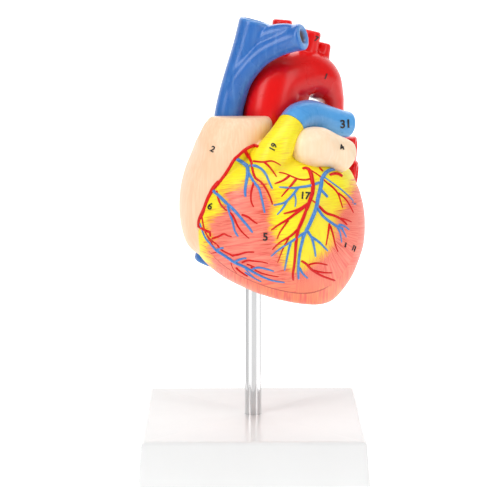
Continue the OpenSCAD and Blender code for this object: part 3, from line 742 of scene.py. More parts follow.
def sighted(points):
    """Where the line of sight to each point crosses the upright plane that lies at the
    heart's front, in millimetres across and up."""
    eye = np.array(EYE)
    share = (SIGHT_PLANE - eye[1]) / (points[:, 1] - eye[1])
    crossed = eye + (points - eye) * share[:, None]
    return crossed[:, [0, 2]] / MM


def inside_by(points, outline):
    """Millimetres from each point to a rounded outline, more than 0 inside it."""
    rows = [[x, z, 0] for x, z in outline]
    start = along_run(rows + rows[:1], 4)[:-1, :2]
    end = np.roll(start, -1, 0)
    edge = end - start
    offset = points[:, None] - start[None]
    share = np.clip((offset * edge).sum(-1) / (edge**2).sum(-1), 0, 1)
    gap = np.linalg.norm(offset - share[..., None] * edge, axis=-1).min(1)
    level = points[:, None, 1]
    above = (start[:, 1] > level) != (end[:, 1] > level)
    rise = np.where(edge[:, 1] == 0, 1, edge[:, 1])
    beyond = points[:, None, 0] < start[:, 0] + (level - start[:, 1]) * edge[:, 0] / rise
    return np.where((above & beyond).sum(1) % 2 == 1, gap, -gap)


# Paint outlines, on the sight plane: across and up, in millimetres.
ATRIUM_OUTLINE = [
    (-40, 194), (-20.6, 193.4), (5, 193.6), (9.8, 190), (10.4, 186.7), (9.8, 184.3),
    (7.3, 180.8), (3.8, 176.9), (1.8, 174.4), (0.3, 174.1), (-2.4, 172.9), (-4.2, 171.4),
    (-9.5, 168.2), (-11, 165.3), (-13.9, 161.7), (-16.7, 158), (-18.6, 155.1), (-20.7, 153.3),
    (-21.7, 150.8), (-23.6, 145.7), (-25.8, 140.6), (-27.8, 135.5), (-28.4, 130.3),
    (-29, 125.2), (-29.3, 122.3), (-28.6, 119.3), (-28.6, 117), (-30.5, 115), (-34, 113.6),
    (-46, 113), (-50, 150),
]
MUSCLE_OUTLINE = [
    (-15, 149.7), (-9.6, 151.5), (-4.5, 153.7), (0.5, 155.1), (4.8, 153.3), (8.1, 148.6),
    (9.3, 144.2), (8.5, 139.8), (7.9, 135.4), (8.1, 132.1), (9.6, 128.5), (11.4, 124.4),
    (12.5, 119.3), (14.3, 113.4), (18.2, 109.5), (22.9, 109), (27, 109.5),
    (31.1, 112.7), (34.2, 115.3), (36.8, 117.4), (39.4, 120), (41.6, 124.7),
    (42.4, 130.5), (42.9, 135.2), (44.4, 139.4), (46.4, 143), (48.4, 147.2), (51, 151.3),
    (52.5, 154.4), (60, 162), (75, 165), (75, 75),
    (-24, 75), (-25.4, 105), (-25, 110), (-24.4, 114.4), (-23.4, 118.4), (-22.8, 123),
    (-20.4, 125.2), (-22.5, 128.9), (-22.7, 132.5), (-20.4, 136.9), (-15.4, 140.6),
    (-13.9, 145.7),
]
FAN_MIDDLE, FAN_REACH = np.array([34.0, 132.0]), 30.0


def stroke_places(sight):
    """Two coordinates for the brush: across its strokes and along them. The strokes lie
    level on the heart's middle and spread as a fan at its lower right."""
    out = sight - FAN_MIDDLE
    angle = np.arctan2(out[:, 1], out[:, 0])
    reach = np.linalg.norm(out, axis=1)
    share = np.clip((sight[:, 0] - 22) / 12, 0, 1) * np.clip((140 - sight[:, 1]) / 8, 0, 1)
    level = sight[:, 1] - 0.12 * sight[:, 0]
    across = level * (1 - share) + angle * FAN_REACH * share
    along = sight[:, 0] * (1 - share) + reach * share
    return across, along


def form_gap(points, rows):
    """About how far each point lies outside a stacked form, in millimetres."""
    x, y, z = (points / MM).T
    z = z - low_point / MM
    s = section_at(rows, np.clip(z, rows[0][0], rows[-1][0]))
    rx, ry = (s[:, 2] - s[:, 1]) / 2, (s[:, 4] - s[:, 3]) / 2
    level = np.hypot((x - s[:, 1] - rx) / rx, (y - s[:, 3] - ry) / ry)
    return (level - 1) * np.minimum(rx, ry) + np.maximum(0, z - rows[-1][0])


def paint_places(piece, front):
    """The numbers that the heart's paint reads: how far each point lies inside the peach
    and the salmon paint, and where it lies across and along the brush's strokes."""
    points = points_of(piece)
    sight = sighted(points)
    if front:
        peach = inside_by(sight, ATRIUM_OUTLINE)
        muscle = inside_by(sight, MUSCLE_OUTLINE)
        across, along = stroke_places(sight)
    else:
        x, y, z = (points / MM).T
        z = z - low_point / MM
        peach = form_gap(points, VENTRICLES) - form_gap(points, REAR_ATRIUM)
        peach = np.where(y < 5, np.minimum(peach, z - 28), peach)
        groove = np.abs(x - 12 - 0.12 * (z - 40)) + np.maximum(0, 26 - z) * 1.5
        groove = np.where(y > 0, groove, 40)
        muscle = np.minimum(np.minimum(-peach - 6, groove - 5), 76 - z + 0 * x)
        across, along = z + 0.3 * x, x
        below = z < 22
        across = np.where(below, x, across)
        along = np.where(below, z, along)
        behind = np.clip((y - 2) / 10, 0, 1)
        behind = np.where(z > 30, behind, 1)
        muscle = muscle * behind + inside_by(sight, MUSCLE_OUTLINE) * (1 - behind)
        muscle = np.minimum(muscle, -peach - 1)
    x, y, z = (points / MM).T
    seam = np.abs(y - seam_y(x, z - low_point / MM)) - SEAM_GAP / 2
    give(piece, peach=peach, muscle=muscle, across=across, along=along, seam=seam)


def heart_paint():
    """Yellow fat with salmon muscle brushed over it in strokes, and the right atrium in
    peach. The muscle's edge is frayed by the strokes and fades through orange."""
    paint = Finish("heart_paint", Coat_Roughness=0.2)
    peach, muscle = paint.attribute("peach"), paint.attribute("muscle")
    across, along = paint.attribute("across"), paint.attribute("along")
    combine_xyz = lambda x, y: paint.node("ShaderNodeCombineXYZ", {}, {0: x, 1: y})
    bristle = paint.noise(combine_xyz(across * 2.1, along * 0.16), 1, 3, 0.6)
    fibre = paint.noise(combine_xyz(across * 0.8, along * 0.07), 1, 2, 0.5)
    place = paint.place()
    cloud = paint.noise(place, 60, 3)
    edge = muscle + (bristle - 0.5) * 9 + (fibre - 0.5) * 6
    on_muscle = edge.ramp(-0.8, 1.6)
    halo = edge.ramp(-4.5, 0.2)
    yellow = paint.mix(cloud.ramp(0.35, 0.75), (1.0, 0.9, 0.016), (0.97, 0.78, 0.012))
    orange = paint.mix(halo * 0.75, yellow, (1.0, 0.42, 0.05))
    salmon = paint.mix(fibre.ramp(0.3, 0.7), (0.92, 0.15, 0.11), (1.0, 0.28, 0.19))
    salmon = paint.mix(bristle.ramp(0.5, 0.8) * 0.6, salmon, (1.0, 0.46, 0.31))
    # Orange shows through low on the muscle.
    height_up = paint.node("ShaderNodeSeparateXYZ", {}, {0: place}, 2)
    low = height_up.ramp(0.112, 0.092) * fibre.ramp(0.35, 0.6)
    salmon = paint.mix(low * 0.6, salmon, (1.0, 0.32, 0.1))
    vinyl = paint.mix(on_muscle, orange, salmon)
    # Thin dark strokes, mostly along the muscle's edge.
    hair = paint.noise(combine_xyz(across * 3.2, along * 0.1), 1, 2, 0.5).ramp(0.53, 0.62)
    edge_band = edge.ramp(-4.5, 0) * (1 - edge.ramp(2, 9))
    vinyl = paint.mix(hair * (edge_band + 0.25).least(1), vinyl, (0.74, 0.07, 0.035))
    # A dark line where the two halves meet below.
    rightward = paint.node("ShaderNodeSeparateXYZ", {}, {0: place}, 0)
    joint = (1 - paint.attribute("seam").ramp(0.1, 0.45)) * edge.ramp(0, 2)
    joint = joint * rightward.ramp(0.042, 0.036)
    vinyl = paint.mix(joint * 0.8, vinyl, (0.45, 0.015, 0.012))
    streak = paint.noise(paint.stretched(place, 900, 900, 40), 1, 3)
    skin = paint.mix(streak.ramp(0.35, 0.7), (0.97, 0.63, 0.4), (0.98, 0.71, 0.49))
    skin = paint.mix(cloud.ramp(0.4, 0.8) * 0.4, skin, (1.0, 0.56, 0.32))
    on_atrium = peach.ramp(-0.3, 0.3)
    height = bristle * 0.6 + streak * 0.4
    return paint.set(
        Base_Color=paint.mix(on_atrium, vinyl, skin),
        Roughness=cloud * 0.1 + 0.33,
        Normal=paint.bump(height, 0.00012, 0.35),
    )


def inner_finish(name, dark, light, roughness=0.4, on_wall=False):
    """Fibrous muscle. On a wall's cut face it turns to the right atrium's peach."""
    finish = Finish(name, Roughness=roughness)
    fibre = finish.noise(finish.stretched(finish.place(), 500, 500, 120), 1, 4)
    color = finish.mix(fibre.ramp(0.3, 0.7), dark, light)
    if on_wall:
        on_atrium = finish.attribute("peach").ramp(0.2, 0.8)
        color = finish.mix(on_atrium, color, (0.96, 0.6, 0.38))
    return finish.set(Base_Color=color, Normal=finish.bump(fibre, 0.0002, 0.4))


HEART_PAINT = heart_paint()
CUT_FACE = inner_finish("cut_face", (0.86, 0.2, 0.13), (0.97, 0.36, 0.25), 0.45, True)
LINING = inner_finish("chamber_lining", (0.7, 0.1, 0.07), (0.9, 0.22, 0.15))
WALL_GRAIN = 0.8 * MM


def solid_half(front):
    """The fused body of one half before it is hollowed: the front or the rear."""
    shells = [stacked("ventricles", VENTRICLES)]
    shells.append(stacked("atrium", FRONT_ATRIUM if front else REAR_ATRIUM))
    if front:
        shells.append(vessel("trunk", TRUNK_RUN, TRUNK_R, longer=4))
    body = fused("front_half" if front else "rear_half", shells, WALL_GRAIN, 7)
    coloured(body, HEART_PAINT)
    if front:
        reach, radius = 10, 13
        beyond = short_bar("beyond", trunk_end + trunk_way * reach, trunk_way, radius, reach,
                           reach)
        combine(body, beyond, CUT_FACE)
    return body


def half(solid, front):
    """One half of the wall: its body, cut at the seam and hollowed."""
    body = copy_of(solid, solid.name)
    side = -1 if front else 1
    combine(body, beside_seam("seam_block", side), CUT_FACE, "INTERSECT")
    for hollow in chambers(front) + [seam_fittings(side)]:
        combine(body, hollow, LINING)
    if not front:
        for low, high, radius in ROD_WAYS:
            low, high = (low_point + level * MM for level in (low, high))
            combine(body, pillar("rod_way", 0, 0, low, high, radius * MM), LINING)
    paint_places(body, front)
    return sharpen(body, 50)


front_solid = solid_half(True)
rear_solid = solid_half(False)
front_half = half(front_solid, True)
rear_half = half(rear_solid, False)
for wall, body, nodes in (
    (front_half, "front_heart", ("front_wall", "pulmonary_trunk")),
    (rear_half, "rear_heart", ("rear_wall",)),
):
    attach(wall, body)
    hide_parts(*nodes)


# ---- Great vessels ----
# Stubs of the body's large vessels, cast in vinyl with rounded rims round shallow holes, and
# painted glossy red for arteries and blue for veins. They are glued to the rear half.

AORTA_R, CAVA_R, LUNG_ARTERY_R, LUNG_VEIN_R = 14.0, 7.5, 7.2, 5.5
ARCH_BRANCHES = [
    ([[13, 8, 122, 1.15], [14.6, 9, 138, 1], [15.6, 9.6, 149.8, 1]], 5.3),
    ([[26, 13, 123, 1.5], [29.4, 13.6, 135, 1.08], [31.5, 14, 143.7, 1]], 5.0),
    ([[31, 18, 117, 2.2], [35, 20, 127.5, 1.6], [37.2, 20.4, 133, 1.1],
      [38.2, 20.6, 136.8, 1]], 3.9),
]
CAVA_RUN = [
    [-13.6, -3.6, 90, 1.02], [-13.1, -3.6, 100, 1], [-10.7, -3.6, 112, 0.97],
    [-7, -3.6, 124, 1], [-2.8, -3.6, 136, 1.07], [1.2, -3.6, 150.3, 1.13],
]
BRACHIOCEPHALIC_VEIN_RUN = [
    [-10.8, -4, 108, 0.98], [-6.8, -6, 120, 0.95], [2, -8.4, 130.8, 0.87],
    [11.5, -10.4, 137, 0.86], [20, -12.4, 140.8, 0.97], [26.2, -15, 142.6, 1.05],
]
VEIN_WEB_RUN = [
    [-1, -5, 137, 0.7], [7, -8, 142.4, 0.7], [15, -10.8, 144.4, 0.68], [21, -12.8, 144.2, 0.62],
]
LOWER_CAVA_RUN = [
    [-19.4, 17, 43, 1], [-20.6, 20.6, 33, 1], [-21.8, 21, 25, 0.96], [-24.6, 21.4, 16.6, 0.9],
]
LEFT_ARTERY_RUN = [
    [19.6, -17.6, 97.2, 1], [23.4, -11.8, 100.2, 1.06], [29.8, -4.6, 101, 1.06],
    [38, 2, 98, 1.02], [46, 7, 95, 1], [51.2, 10.2, 93.9, 0.98],
]
RIGHT_ARTERY_RUN = [
    [29, -2, 100, 0.9], [31, 10, 99, 0.84], [26, 21, 98.6, 0.84], [12, 26.4, 98.6, 0.84],
    [-4, 27.4, 98.6, 0.84], [-17, 25.4, 98, 0.84],
]
LEFT_VEINS = [
    [[31, 30, 80, 1.1], [42, 29, 79, 1.15], [56.2, 26.6, 78.4, 1.32]],
    [[31, 31, 69, 1.1], [42, 31.2, 66, 1.15], [57, 28.6, 64.6, 1.3]],
]
RIGHT_VEINS = [
    [[-9, 36, 80.4, 1], [-17, 37.6, 80.4, 1], [-24, 38.4, 79.6, 1]],
    [[-9, 36, 68, 1], [-18, 38.6, 67, 1], [-28, 39.4, 66, 1]],
]
LEFT_ATRIUM_RUN = [
    [-17, 33, 76, 3], [-14.5, 33, 76, 9], [-7, 33.4, 76, 13], [5, 34, 76.4, 14.8],
    [18, 33.4, 76.4, 15], [29, 30.6, 76, 13], [36, 28, 75, 8.8], [38, 27.4, 75, 3],
]
AURICLE_RUN = [
    [21.2, -17, 84.6, 3], [22.8, -18, 84.6, 7], [25.6, -19, 84.9, 9.6],
    [29.6, -19.4, 85.2, 10.8],
    [34.6, -19.4, 85.2, 10.6], [40.6, -17.4, 83.4, 9], [45.4, -15, 80.7, 9.3],
    [48, -13.4, 79, 8.4], [49.6, -12.4, 78, 5],
]
AURICLE_NECK_RUN = [[33, -14, 82, 8], [37, -2, 80, 9], [36, 12, 78, 9], [30, 22, 77, 10]]
VESSEL_GRAIN = 0.55 * MM


def hole_depth(piece, ends):
    """For each point, from 0 to 1, how far it lies down a hole, and how near to its rim, where
    the paint gets a painted highlight.
    """
    start, fade, beside, deepest, lip = 0.6, 2.0, 0.9, 12, 1.3
    points = points_of(piece) / MM - [0, 0, low_point / MM]
    depth, rim = np.zeros(len(points)), np.zeros(len(points))
    for rows, radius in ends:
        end, before = np.array(rows[-1][:3], float), np.array(rows[-2][:3], float)
        out = unit(end - before)
        offset = points - end
        down = -(offset @ out)
        aside = np.linalg.norm(offset + down[:, None] * out, axis=1)
        inner = rows[-1][3] * radius - VESSEL_WALL
        share = np.clip((down - start) / fade, 0, 1)
        share = share * (aside < inner + beside) * (down < deepest)
        depth = np.maximum(depth, share)
        # Near the lip the paint is lightened: a painted highlight on the rim of each open end.
        edge = np.exp(-((down / lip) ** 2)) * (np.abs(aside - inner - VESSEL_WALL / 2) < 2)
        rim = np.maximum(rim, edge)
    give(piece, hole=depth, rim=rim)


def vessel_paint(name, deep, main, light, hole, shine=0.26, gloss=0.25):
    """Glossy paint, a little uneven, darker in the holes of the open ends and lighter on their
    rims as a painted highlight.
    """
    paint = Finish(name, Coat_Weight=gloss, Coat_Roughness=0.22, Specular_IOR_Level=shine)
    place = paint.place()
    cloud = paint.noise(place, 45, 3)
    brushed = paint.noise(paint.stretched(place, 500, 500, 60), 1, 3)
    color = paint.mix(cloud.ramp(0.3, 0.7), deep, main)
    color = paint.mix(brushed.ramp(0.45, 0.8) * 0.25, color, light)
    # The rims of the open ends take the light colour: a painted highlight.
    color = paint.mix(paint.attribute("rim") * 0.6, color, light)
    color = paint.mix(paint.attribute("hole"), color, hole)
    return paint.set(
        Base_Color=color,
        Roughness=cloud * 0.08 + 0.24,
        Normal=paint.bump(brushed * 0.15 + cloud, 0.0001, 0.15),
    )


# The third colour lightens the brush marks, and it is also the painted highlight on the rims of
# the open ends.
ARTERY_PAINT = vessel_paint(
    "artery_red", (0.76, 0.002, 0.002), (0.88, 0.003, 0.003), (0.94, 0.01, 0.01),
    (0.10, 0.004, 0.004))
CAVA_PAINT = vessel_paint(
    "vein_blue", (0.02, 0.135, 0.47), (0.03, 0.17, 0.55), (0.15, 0.38, 0.75),
    (0.3, 0.22, 0.19), 0.4, 0.45)
PULMONARY_PAINT = vessel_paint(
    "pulmonary_blue", (0.07, 0.33, 0.74), (0.1, 0.4, 0.83), (0.2, 0.55, 0.92),
    (0.04, 0.04, 0.06), 0.4, 0.4)


def fitted(piece, paint, node, cutters, ends=(), body="rear_heart"):
    """A fused vessel, cut to lie on what carries it and painted, which takes the place of its CAD
    node.
    ends are the runs and radii of its open ends."""
    coloured(piece, paint)
    for cutter in cutters:
        combine(piece, cutter, paint)
    hole_depth(piece, ends)
    sharpen(piece, 45)
    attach(piece, body)
    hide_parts(node)
    return piece


aorta_ends = [(AORTA_RUN, AORTA_R), *ARCH_BRANCHES]
aorta_shells = [
    vessel("arch", AORTA_RUN, AORTA_R, 72, True), vessel("arch_web", ARCH_WEB_RUN, AORTA_R),
    *(vessel("branch", *branch, is_open=True) for branch in ARCH_BRANCHES),
]
aorta = fitted(
    fused("aorta_arch", aorta_shells, VESSEL_GRAIN, 5), ARTERY_PAINT, "aorta",
    (copy_of(rear_solid), vessel("way", AORTIC_RUN, AORTIC_WAY_R)), aorta_ends,
)

cava_shells = [
    vessel("cava", CAVA_RUN, CAVA_R, is_open=True),
    vessel("innominate", BRACHIOCEPHALIC_VEIN_RUN, 6.9, is_open=True, wall=4.0),
    vessel("vein_web", VEIN_WEB_RUN, 6.9),
]
# The second vein's wall is thicker, so its end is stated with a radius 1 mm less.
fitted(
    fused("upper_cava", cava_shells, VESSEL_GRAIN, 20), CAVA_PAINT,
    "superior_vena_cava", (copy_of(rear_solid),),
    [(CAVA_RUN, CAVA_R), (BRACHIOCEPHALIC_VEIN_RUN, 5.9)],
)
fitted(
    fused("lower_cava", [vessel("cava", LOWER_CAVA_RUN, 9, is_open=True)], VESSEL_GRAIN, 3),
    CAVA_PAINT, "inferior_vena_cava", (copy_of(rear_solid),),
    [(LOWER_CAVA_RUN, 9)],
)

left_artery_rows = [[*(trunk_end - trunk_way * 6), 1.05]] + LEFT_ARTERY_RUN
pulmonary_arteries = fitted(
    fused("lung_arteries", [
        vessel("left", left_artery_rows, LUNG_ARTERY_R, is_open=True),
        vessel("right", RIGHT_ARTERY_RUN, LUNG_ARTERY_R, is_open=True),
    ], VESSEL_GRAIN, 4),
    PULMONARY_PAINT, "pulmonary_arteries",
    (
        short_bar("trunk_side", trunk_end - trunk_way * 9.7, trunk_way, 16, 10, 10),
        short_bar("trunk_hole", trunk_end, trunk_way, 4.6, 1, 9), copy_of(aorta),
    ),
    [(LEFT_ARTERY_RUN, LUNG_ARTERY_R), (RIGHT_ARTERY_RUN, LUNG_ARTERY_R)],
)


# ---- Left atrium, its auricle and the lung veins ----
# The left atrium lies across the heart's back. Its ear-shaped auricle comes forward round the
# left side; the seam cuts through it, so its tip stays on the front half.

def atrium_paint():
    """Cream, with fine streaks and clouds of peach."""
    paint = Finish("atrium_paint", Coat_Roughness=0.2)
    place = paint.place()
    streak = paint.noise(paint.stretched(place, 700, 700, 60), 1, 3)
    cloud = paint.noise(place, 70, 3)
    color = paint.mix(streak.ramp(0.35, 0.7), (0.99, 0.75, 0.51), (0.99, 0.81, 0.59))
    color = paint.mix(cloud.ramp(0.4, 0.8) * 0.4, color, (1.0, 0.68, 0.44))
    return paint.set(
        Base_Color=color, Roughness=cloud * 0.1 + 0.33,
        Normal=paint.bump(streak + cloud, 0.00012, 0.3),
    )


ATRIUM_PAINT = atrium_paint()
atrium_shells = [
    vessel("body", LEFT_ATRIUM_RUN, 1.0),
    vessel("ear", AURICLE_RUN, 1.0),
    vessel("neck", AURICLE_NECK_RUN, 1.0),
]
atrium_solid = fused("left_atrium_solid", atrium_shells, VESSEL_GRAIN * 1.3, 6)


def atrium_part(name, side):
    """What of the left atrium lies behind the seam (1) or in front of it (-1)."""
    part = coloured(copy_of(atrium_solid, name), ATRIUM_PAINT)
    return combine(part, beside_seam("seam_block", side), CUT_FACE, "INTERSECT")


rear_atrium = fitted(
    atrium_part("left_atrium_body", 1), ATRIUM_PAINT, "left_atrium",
    (copy_of(rear_solid), vessel("lumen", ATRIUM_LUMEN_RUN, 1.0),
     vessel("aorta_room", AORTA_RUN, AORTA_R, 72, grow=0.2)),
)
auricle_tip = fitted(
    atrium_part("left_auricle_tip", -1), ATRIUM_PAINT, "left_auricle",
    (copy_of(front_solid),), body="front_heart",
)
for side, runs in (("left", LEFT_VEINS), ("right", RIGHT_VEINS)):
    ends = [(rows, LUNG_VEIN_R) for rows in runs]
    shells = [vessel("vein", *end, is_open=True) for end in ends]
    fitted(
        fused(f"{side}_lung_veins", shells, VESSEL_GRAIN, 3), ARTERY_PAINT,
        f"{side}_pulmonary_veins", (copy_of(atrium_solid), copy_of(rear_solid)),
        ends,
    )


# ---- Coronary vessels ----
# Arteries and veins stand proud of the heart's wall as low, rounded ridges that branch and
# thin out. They are cast with the wall and painted red and blue.

# Branches as seen from the front: width where it starts and ends, then points across and up
# on the sight plane, all in millimetres.
FRONT_ARTERIES = [
    # The right coronary artery, in the groove beside the right atrium.
    (1.7, 1.6, [(2.4, 173.6), (1, 174.3), (-1, 174), (-4.8, 172), (-7.9, 169), (-10, 167.2),
     (-12.8, 162.4), (-15.9, 157.7), (-18.7, 154.3)]),
    (2.5, 1.5, [(-17.6, 156), (-19.4, 153.8), (-20.9, 152), (-22, 150), (-24, 146), (-25.8, 141),
     (-28.3, 135.6), (-28.4, 129.4), (-28.8, 124.5)]),
    (0.8, 0.6, [(-24.6, 144), (-25.4, 140), (-27.2, 136)]),
    (1.0, 0.6, [(-33.4, 125), (-30.4, 122.4), (-28.3, 121.5), (-27.4, 119), (-26.7, 116)]),
    # Its branches over the right ventricle.
    (2.0, 1.5, [(-4.6, 171.9), (-3, 169), (-1.4, 166.7), (-0.6, 163)]),
    (1.3, 0.8, [(-1, 164), (-0.2, 160), (1, 157.4), (3.8, 155.5), (6.9, 151), (8.7, 146.8),
     (9.7, 143.7)]),
    (1.2, 0.7, [(0.2, 156), (-0.5, 153.6), (-1.4, 150), (-1.4, 145.5), (0, 142.4)]),
    (1.1, 0.6, [(-0.8, 166.4), (4.4, 165.8), (8.1, 166.4), (10.6, 166), (14, 164)]),
    (1.3, 0.6, [(5.2, 166), (7, 164.4), (8.8, 162.4), (11.9, 158)]),
    (1.3, 0.8, [(-19.2, 151), (-18.7, 149.3), (-17.8, 145.5), (-15.9, 142.4), (-13.8, 140.6)]),
    (1.3, 0.7, [(-12.4, 139.8), (-10.4, 137.4), (-8.5, 133), (-6, 129.4), (-2.3, 126)]),
    (1.2, 0.7, [(-6.4, 138.6), (-3, 137.4), (-0.5, 135.3), (2, 133.7)]),
    (1.1, 1.0, [(-26.9, 140), (-26.4, 136), (-25.2, 130), (-22.7, 126), (-19, 123)]),
    (1.1, 1.0, [(-19, 123), (-16.5, 120), (-12.2, 117.8), (-10.4, 116.6)]),
    (1.2, 0.8, [(-11.4, 117.2), (-8, 117.6), (-4, 118.9), (0.4, 119)]),
    (1.2, 0.7, [(-21.8, 126), (-18.4, 127), (-15.4, 128.6), (-13.5, 127.6), (-11.3, 127)]),
    (1.1, 0.6, [(-6.4, 113.3), (-3, 114.7), (0, 114.2), (4.4, 113.8), (7.5, 113)]),
    (1.1, 0.6, [(-1.7, 111.3), (2, 108.8), (6.9, 107), (13, 106)]),
    (1.0, 0.6, [(-3.8, 112.6), (-1.6, 112), (1.4, 110.6)]),
    (1.4, 1.1, [(-11.6, 107), (-9.8, 104), (-7.3, 101.6), (-5.4, 100.2)]),
    (0.7, 0.5, [(-22, 118.6), (-20, 115.6), (-17, 113.2)]),
    (0.6, 0.4, [(-11.8, 113.4), (-11, 110.8), (-8.6, 107.6)]),
    # The front descending artery, in the groove between the ventricles.
    (1.3, 2.2, [(24.9, 162.3), (26.2, 162.7), (27.6, 162.4), (28.9, 161)]),
    (2.3, 1.9, [(28.2, 162.2), (29.4, 159.3), (30, 156), (30.4, 153), (30, 149.3), (28.5, 145),
     (26.7, 140)]),
    (1.9, 1.1, [(27, 141), (24.8, 135), (23, 131), (22.3, 127.5), (21.7, 122.5), (21.4, 117),
     (20.8, 111), (20.2, 107), (20.5, 103.8)]),
    (1.0, 0.8, [(29.8, 157.7), (27.9, 156.8), (24.8, 156.6), (21.7, 157.4), (18.6, 158.8),
     (15.6, 160), (12.8, 160.5)]),
    (1.4, 0.7, [(18.4, 158.8), (15.6, 156.6), (13, 155.4), (10.6, 154.6)]),
    (1.4, 0.6, [(22, 157.4), (19.6, 154.3), (16.8, 151), (14, 147.7)]),
    (1.6, 0.8, [(28.3, 144.6), (24.2, 141.8), (19.9, 140.2), (15.2, 139)]),
    (1.6, 0.8, [(26.7, 143), (21.7, 139.3), (17.4, 136), (13, 133.4), (8.8, 130.3)]),
    (1.1, 0.6, [(18, 136), (15.6, 132.5), (13.4, 129.3), (11.9, 125.6)]),
    (1.4, 0.7, [(23.3, 131.5), (19.9, 128), (16.8, 126), (13, 123.7), (9.4, 120)]),
    (1.0, 0.5, [(18.3, 126.8), (16.2, 123), (14.3, 118.8), (12.2, 113)]),
    # Its branches over the left ventricle.
    (0.9, 0.9, [(28.5, 161.9), (32.8, 159.3), (36.5, 156), (39, 153.8)]),
    (1.2, 0.8, [(38, 154.8), (40.9, 152.4), (43.3, 149.3), (44.6, 145.5), (45.8, 141.8)]),
    (1.2, 0.8, [(43, 150), (47, 146.8), (49.5, 143), (51.4, 139.3)]),
    (0.7, 1.0, [(29.6, 146), (31.8, 144.8), (34, 142.6)]),
    (1.5, 1.0, [(33.6, 143), (37.2, 139.3), (41.5, 138), (45.2, 136), (48.3, 133)]),
    (1.1, 0.6, [(44, 136.6), (47.4, 136), (50.6, 134.6)]),
    (1.4, 0.7, [(39, 134), (38.4, 129.3), (37.2, 122)]),
    (1.2, 0.6, [(39.3, 133), (40.9, 128), (42, 123), (43.6, 118.8)]),
    (1.3, 1.0, [(24.5, 114.4), (27.3, 112.6), (29.8, 109.8), (34, 107), (37.8, 105.4),
     (42.4, 103.8)]),
    (1.2, 0.7, [(28.2, 112.2), (32.8, 113.3), (38.4, 112)]),
    (1.3, 0.7, [(30.4, 109.4), (35.3, 108.2), (40.8, 108)]),
    # The artery that runs left round the heart, under the auricle.
    (1.4, 2.0, [(38.8, 159), (41, 159.8), (43.4, 159.6), (45.4, 158.4)]),
    (1.1, 1.3, [(33.6, 163), (34.4, 162), (35.4, 161)]),
]
FRONT_VEINS = [
    # The great vein beside the descending artery, which turns back under the auricle.
    (1.5, 2.1, [(45.4, 160.6), (43.6, 161.6), (41.4, 162), (38.8, 161.5), (36.6, 160),
     (34.9, 157)]),
    (2.1, 1.9, [(35, 158.6), (34.4, 153), (33, 147.4), (32.2, 142.4), (30.4, 137.4),
     (28.2, 132.5), (26.6, 129.4)]),
    (1.7, 1.2, [(27.2, 130.6), (25.8, 127.4), (25, 124.4), (23.9, 119.4), (23.3, 115), (23, 110),
     (23.3, 104.4)]),
    (1.3, 0.8, [(23.5, 111), (25.4, 107.5), (28.2, 105)]),
    (1.4, 0.8, [(34.2, 155.4), (29, 153.6), (24.2, 152.9), (21, 152.4), (16.8, 152.6),
     (12.8, 152.9)]),
    (1.3, 0.8, [(23, 152.8), (19.9, 148.7), (16.8, 145.5), (14.3, 144.3), (10, 143.4)]),
    (1.2, 0.7, [(17.4, 146.2), (14.9, 141.8), (11.9, 138.4)]),
    (1.0, 0.6, [(20.8, 149.8), (21.7, 146), (21.2, 142.4)]),
    (1.4, 0.8, [(27, 129.6), (23, 127), (19.9, 124.7), (16.2, 122.5), (11.9, 119.4),
     (8.8, 116.6)]),
    (1.3, 0.8, [(19.2, 124.4), (18, 120), (17, 115), (15.9, 109)]),
    (1.5, 1.3, [(32.6, 142.4), (35.3, 138), (39, 135), (42.7, 132.5), (46.4, 131)]),
    (1.2, 0.8, [(43.4, 133), (46, 133), (49.4, 130.4)]),
    (1.2, 0.7, [(42.9, 132.4), (44.6, 128.7), (45.4, 123.7)]),
    (1.1, 0.7, [(45.4, 131.2), (46.8, 128.8), (47.8, 126.6)]),
    (1.4, 0.9, [(27.4, 130.4), (29.8, 126.6), (30.7, 123.7), (31.6, 119.4), (32, 116.3)]),
    (1.3, 0.8, [(29.6, 127), (33.5, 124.4), (35.9, 122), (38.4, 119.4)]),
    (0.9, 0.9, [(35.3, 158.5), (40.2, 155), (44.6, 151.8), (48.9, 148), (52.9, 143.7)]),
    (1.5, 1.3, [(34.6, 151.4), (36.5, 149.3), (38, 147.6)]),
    # Veins over the right ventricle, which start at the groove on the left.
    (1.6, 2.2, [(-9.4, 167.8), (-6, 165.8), (-3, 163.4)]),
    (2.0, 1.2, [(-3.4, 163.8), (-3, 160.5), (-3.9, 155), (-4.5, 151), (-4.2, 147.7)]),
    (1.4, 1.0, [(-2.9, 161), (0, 155.5), (2.6, 152.4), (3.8, 148), (4.8, 143.7), (5.7, 139.3)]),
    (1.5, 0.9, [(-2.4, 164), (0.6, 164), (3.8, 162.4), (6.3, 159.3), (8.1, 155), (9.7, 151.8)]),
    (1.6, 1.7, [(-21.4, 151.5), (-17.8, 148.3), (-13.5, 144)]),
    (1.6, 1.1, [(-14, 144.6), (-9.8, 140.6), (-6, 136), (-3, 132.5), (-0.5, 129)]),
    (1.3, 1.0, [(-13.5, 143.4), (-12.2, 138.7), (-10.7, 134.3), (-9.8, 130), (-7.9, 127)]),
    (1.1, 1.5, [(-27.7, 134.3), (-26.4, 130), (-24.6, 126), (-21.5, 122.5), (-19.3, 119.7)]),
    (1.7, 1.6, [(-19.9, 120.2), (-14.7, 117), (-9.8, 113.5), (-5.4, 111.6), (-1.7, 109.4)]),
    (1.6, 0.9, [(-2.4, 109.8), (2.6, 107), (6.9, 105), (10.6, 103.8), (16.2, 103)]),
    (1.4, 0.9, [(-19.3, 119.8), (-17.2, 121), (-15.4, 121.2)]),
    (1.4, 0.9, [(-10, 113.7), (-6.6, 115.4), (-3.6, 115.8)]),
    (1.3, 0.9, [(-1.4, 109.7), (2, 111), (6.9, 110), (10.6, 108.8)]),
    (1.0, 0.6, [(-4.6, 110.6), (-2.6, 108.2), (0.6, 105.2)]),
    (1.0, 0.9, [(-6.4, 104.7), (-3.6, 102), (0, 98.8), (2.4, 97.4)]),
]
